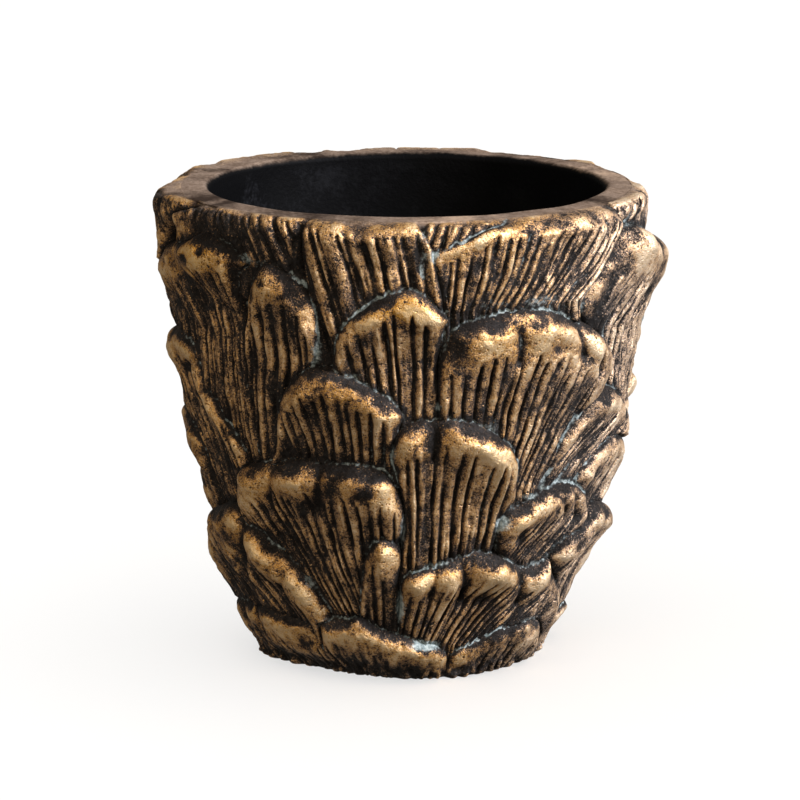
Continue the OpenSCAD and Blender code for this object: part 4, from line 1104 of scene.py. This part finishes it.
# small dark pits, in clusters
dots = m.math("MULTIPLY", m.ramp(pit, 0.16, 0.28, 1, 0), m.ramp(n_c, 0.47, 0.58))
dots2 = m.math("MULTIPLY", m.ramp(pit2, 0.10, 0.20, 1, 0), m.ramp(n_l, 0.49, 0.58))
flecks = m.math("MULTIPLY", m.ramp(m.noise(820, 2.5, 0.6), 0.57, 0.66), m.ramp(n_l, 0.62, 0.42))
pits = m.math("MAXIMUM", m.math("MAXIMUM", dots, dots2), flecks)
mott = m.ramp(m.math("MULTIPLY_ADD", n_m, 0.55, m.noise(240, 3, 0.62)), 0.80, 0.92)
w1 = m.math("MULTIPLY_ADD", mott, -0.34, w1)
# bright grains left in the dark
w1 = m.math("MULTIPLY_ADD", m.math("MULTIPLY", m.ramp(m.noise(1250, 2, 0.6), 0.58, 0.68), m.ramp(w0, 0.75, 0.25)), 0.36, w1)
w1 = m.math("MULTIPLY_ADD", pits, -0.50, m.math("ADD", w1, 0.06))
w1 = m.math("MULTIPLY_ADD", w1, 1.15, -0.09)
dark = m.mix(m.ramp(m.math("MULTIPLY_ADD", n_l, 0.8, n_m), 0.80, 1.02), DARK, DARK_B)
col = m.mix(m.ramp(w1, 0.14, 0.36), dark, UMBER)
col = m.mix(m.ramp(w1, 0.30, 0.56), col, BROWN)
col = m.mix(m.ramp(w1, 0.50, 0.90), col, BRASS)
col = m.mix(m.ramp(w1, 0.86, 1.32), col, BRIGHT)
cover = m.ramp(w1, 0.22, 0.70)
hs = m.t.nodes.new("ShaderNodeHueSaturation")
tone = m.math("MULTIPLY_ADD", m.math("SUBTRACT", m.noise(1400, 2, 0.6), 0.5), 0.7, m.ramp(w1, 0.30, 0.85, -0.22, 0.03))
m.put(hs.inputs["Saturation"], m.math("ADD", tone, m.attr("sat")))
m.put(hs.inputs["Color"], col)
col = hs.outputs[0]
dust = m.mix(m.ramp(m.math("MULTIPLY_ADD", n_l, 0.8, m.math("MULTIPLY_ADD", n_f, 0.6, n_m)), 0.95, 1.50), DUST_D, DUST)
dkn = m.math("MULTIPLY_ADD", m.math("SUBTRACT", n_m, 0.5), 0.7, m.math("MULTIPLY_ADD", m.math("SUBTRACT", n_l, 0.5), 0.9, m.attr("dustk")))
dust = m.mix(m.ramp(dkn, -0.05, -0.95), dust, DUST_DD)
dust = m.mix(m.ramp(dkn, 0.05, 0.95), dust, DUST_L)
rim_k = m.math("MULTIPLY", rf, m.ramp(w1, 1.5, 0.7, 0.75, 1.0))
col = m.mix(rim_k, col, dust)
n_v = m.noise(620, 3, 0.6)
vk = m.ramp(m.math("MULTIPLY_ADD", m.math("SUBTRACT", n_v, 0.5), 0.60, vd), 0.26, 0.62)
col = m.mix(m.math("MULTIPLY", vk, 0.85), col, m.mix(m.ramp(n_v, 0.40, 0.64), VERD, VERD_L))
metal = m.math("MULTIPLY", m.ramp(cover, 0, 1, 0.55, 0.70), m.math("SUBTRACT", 1.0, m.math("MAXIMUM", m.math("MULTIPLY", rim_k, 0.9), vk)), clamp=True)
rough = m.math("MULTIPLY_ADD", n_m, 0.16, m.math("MULTIPLY_ADD", rim_k, 0.25, m.ramp(cover, 0, 1, 0.60, 0.35)))
rough = m.math("MULTIPLY_ADD", m.attr("haze"), 0.09, rough)
hgt = m.math("MULTIPLY_ADD", n_f, 0.45, m.math("MULTIPLY_ADD", n_m, 0.6, m.math("MULTIPLY", n_ff, 0.18)))
hgt = m.math("SUBTRACT", hgt, m.math("MULTIPLY", pits, 0.6))
hgt = m.math("MULTIPLY", hgt, m.math("MULTIPLY_ADD", rim_k, -0.6, 1.0))
b = m.shader(col, rough, metal, m.bump(hgt, 0.0007, 0.9))
m.put(b.inputs["Specular IOR Level"], m.math("MULTIPLY", m.ramp(cover, 0, 1, 0.18, 0.40), m.math("MULTIPLY_ADD", rim_k, -0.9, 1.0)))

corem = bpy.data.materials.new("black_inside_dusty_rim")
m = Net(corem)
rf, ins = m.attr("rimf"), m.attr("inside")
n_f = m.noise(1700, 2, 0.6)
n_m = m.noise(560, 3, 0.6)
n_l = m.noise(90, 3, 0.55)
# grey haze on the inside, strongest on the left: partly dust, partly painted sheen on the inside wall that faces the
# light from the right
haze = m.math("MULTIPLY", m.ramp(m.math("MULTIPLY_ADD", n_m, 0.5, m.noise(42, 4, 0.6)), 0.72, 1.02), ins)
black = m.mix(haze, (0.0014, 0.0014, 0.0016), (0.0130, 0.0133, 0.0150))
dust = m.mix(m.ramp(m.math("MULTIPLY_ADD", n_l, 0.8, m.math("MULTIPLY_ADD", n_f, 0.6, n_m)), 0.95, 1.50), DUST_D, DUST)
dkn = m.math("MULTIPLY_ADD", m.math("SUBTRACT", n_m, 0.5), 0.7, m.math("MULTIPLY_ADD", m.math("SUBTRACT", n_l, 0.5), 0.9, m.attr("dustk")))
dust = m.mix(m.ramp(dkn, -0.05, -0.95), dust, DUST_DD)
dust = m.mix(m.ramp(dkn, 0.05, 0.95), dust, DUST_L)
rk = m.ramp(m.math("MULTIPLY_ADD", m.math("SUBTRACT", n_m, 0.5), 0.20, rf), 0.10, 0.90)
gl = m.ramp(m.math("MULTIPLY_ADD", m.math("SUBTRACT", n_m, 0.5), 0.8, m.attr("gild")), 0.25, 1.05)
dust = m.mix(gl, dust, m.mix(m.ramp(n_f, 0.35, 0.65), BROWN, BRASS))
col = m.mix(rk, black, dust)
b = m.shader(col, m.math("MULTIPLY_ADD", n_m, 0.15, 0.55), 0.0, m.bump(m.math("MULTIPLY_ADD", n_f, 0.4, n_m), 0.0004, 0.6))
b.inputs["Specular IOR Level"].default_value = 0.04

for name, ob in PIECES.items():
    ob.data.materials.append(brass)
    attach(ob, "root")
    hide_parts(name)
core.data.materials.append(corem)
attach(core, "root")
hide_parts("pot_core")

# ---------------------------------------------------------------- floor, light, camera
sc = bpy.context.scene
me = bpy.data.meshes.new("floor")
me.from_pydata([(-8, -8, 0), (8, -8, 0), (8, 8, 0), (-8, 8, 0)], [], [(0, 1, 2, 3)])
floor = bpy.data.objects.new("floor", me)
sc.collection.objects.link(floor)
fm = bpy.data.materials.new("pale_floor")
m = Net(fm)
m.shader(m.mix(m.noise(3.0), (0.83, 0.83, 0.83), (0.85, 0.85, 0.85)), 0.7, 0.0, m.bump(m.noise(200), 0.0001, 0.1))
me.materials.append(fm)

w = bpy.data.worlds.new("studio")
sc.world = w
w.use_nodes = True
bg = w.node_tree.nodes.get("Background") or w.node_tree.nodes.new("ShaderNodeBackground")
bg.inputs[0].default_value = (1.0, 0.94, 0.86, 1.0)
bg.inputs[1].default_value = 0.22


def sun(name, az, el, strength, angle, color=(1, 1, 1)):
    """A broad soft light from azimuth az (0 is the front, 90 the right) and height el."""
    L = bpy.data.lights.new(name, "SUN")
    L.energy = strength
    L.angle = math.radians(angle)
    L.color = color
    o = bpy.data.objects.new(name, L)
    d = Vector((math.sin(az * DEG) * math.cos(el * DEG), -math.cos(az * DEG) * math.cos(el * DEG), math.sin(el * DEG)))
    o.location = d * 3
    o.rotation_euler = (-d).to_track_quat("-Z", "Y").to_euler()
    sc.collection.objects.link(o)
    return o


key = sun("key", 68, 33, 8.2, 28, (0.97, 0.985, 1.06))
fill = sun("front_fill", -22, 30, 1.38, 45, (1.0, 0.88, 0.70))
wash = sun("floor_wash", 0, 60, 3.0, 40)
wash.data.use_shadow = False
wash2 = sun("floor_shade", 0, 85, 0.85, 90)
only = bpy.data.collections.new("floor_only")
only.objects.link(floor)
wash.light_linking.receiver_collection = only
wash2.light_linking.receiver_collection = only
rest = bpy.data.collections.new("all_but_floor")
rest.objects.link(floor)
key.light_linking.receiver_collection = rest
fill.light_linking.receiver_collection = rest
rest.collection_objects[0].light_linking.link_state = "EXCLUDE"
floor.visible_diffuse = False
floor.visible_glossy = False

sc.view_settings.view_transform = "Standard"
sc.view_settings.look = "None"

# camera: two metres away, 12 degrees above the pot's middle, long lens
EL, DIST, FPX = math.radians(12.0), 2.0, 4708.0
cam = bpy.data.cameras.new("camera")
cam.sensor_width = 36.0
cam.lens = FPX * 36.0 / 800.0
cam.clip_end = 50
co = bpy.data.objects.new("camera", cam)
co.location = (0, -DIST * math.cos(EL), 0.1 + DIST * math.sin(EL))
aim = Vector((-6.0 / FPX * DIST, 0, 0.1)) + Vector((0, math.sin(EL), math.cos(EL))) * (16.2 / FPX * DIST)
co.rotation_euler = (aim - Vector(co.location)).to_track_quat("-Z", "Y").to_euler()
sc.collection.objects.link(co)
sc.camera = co
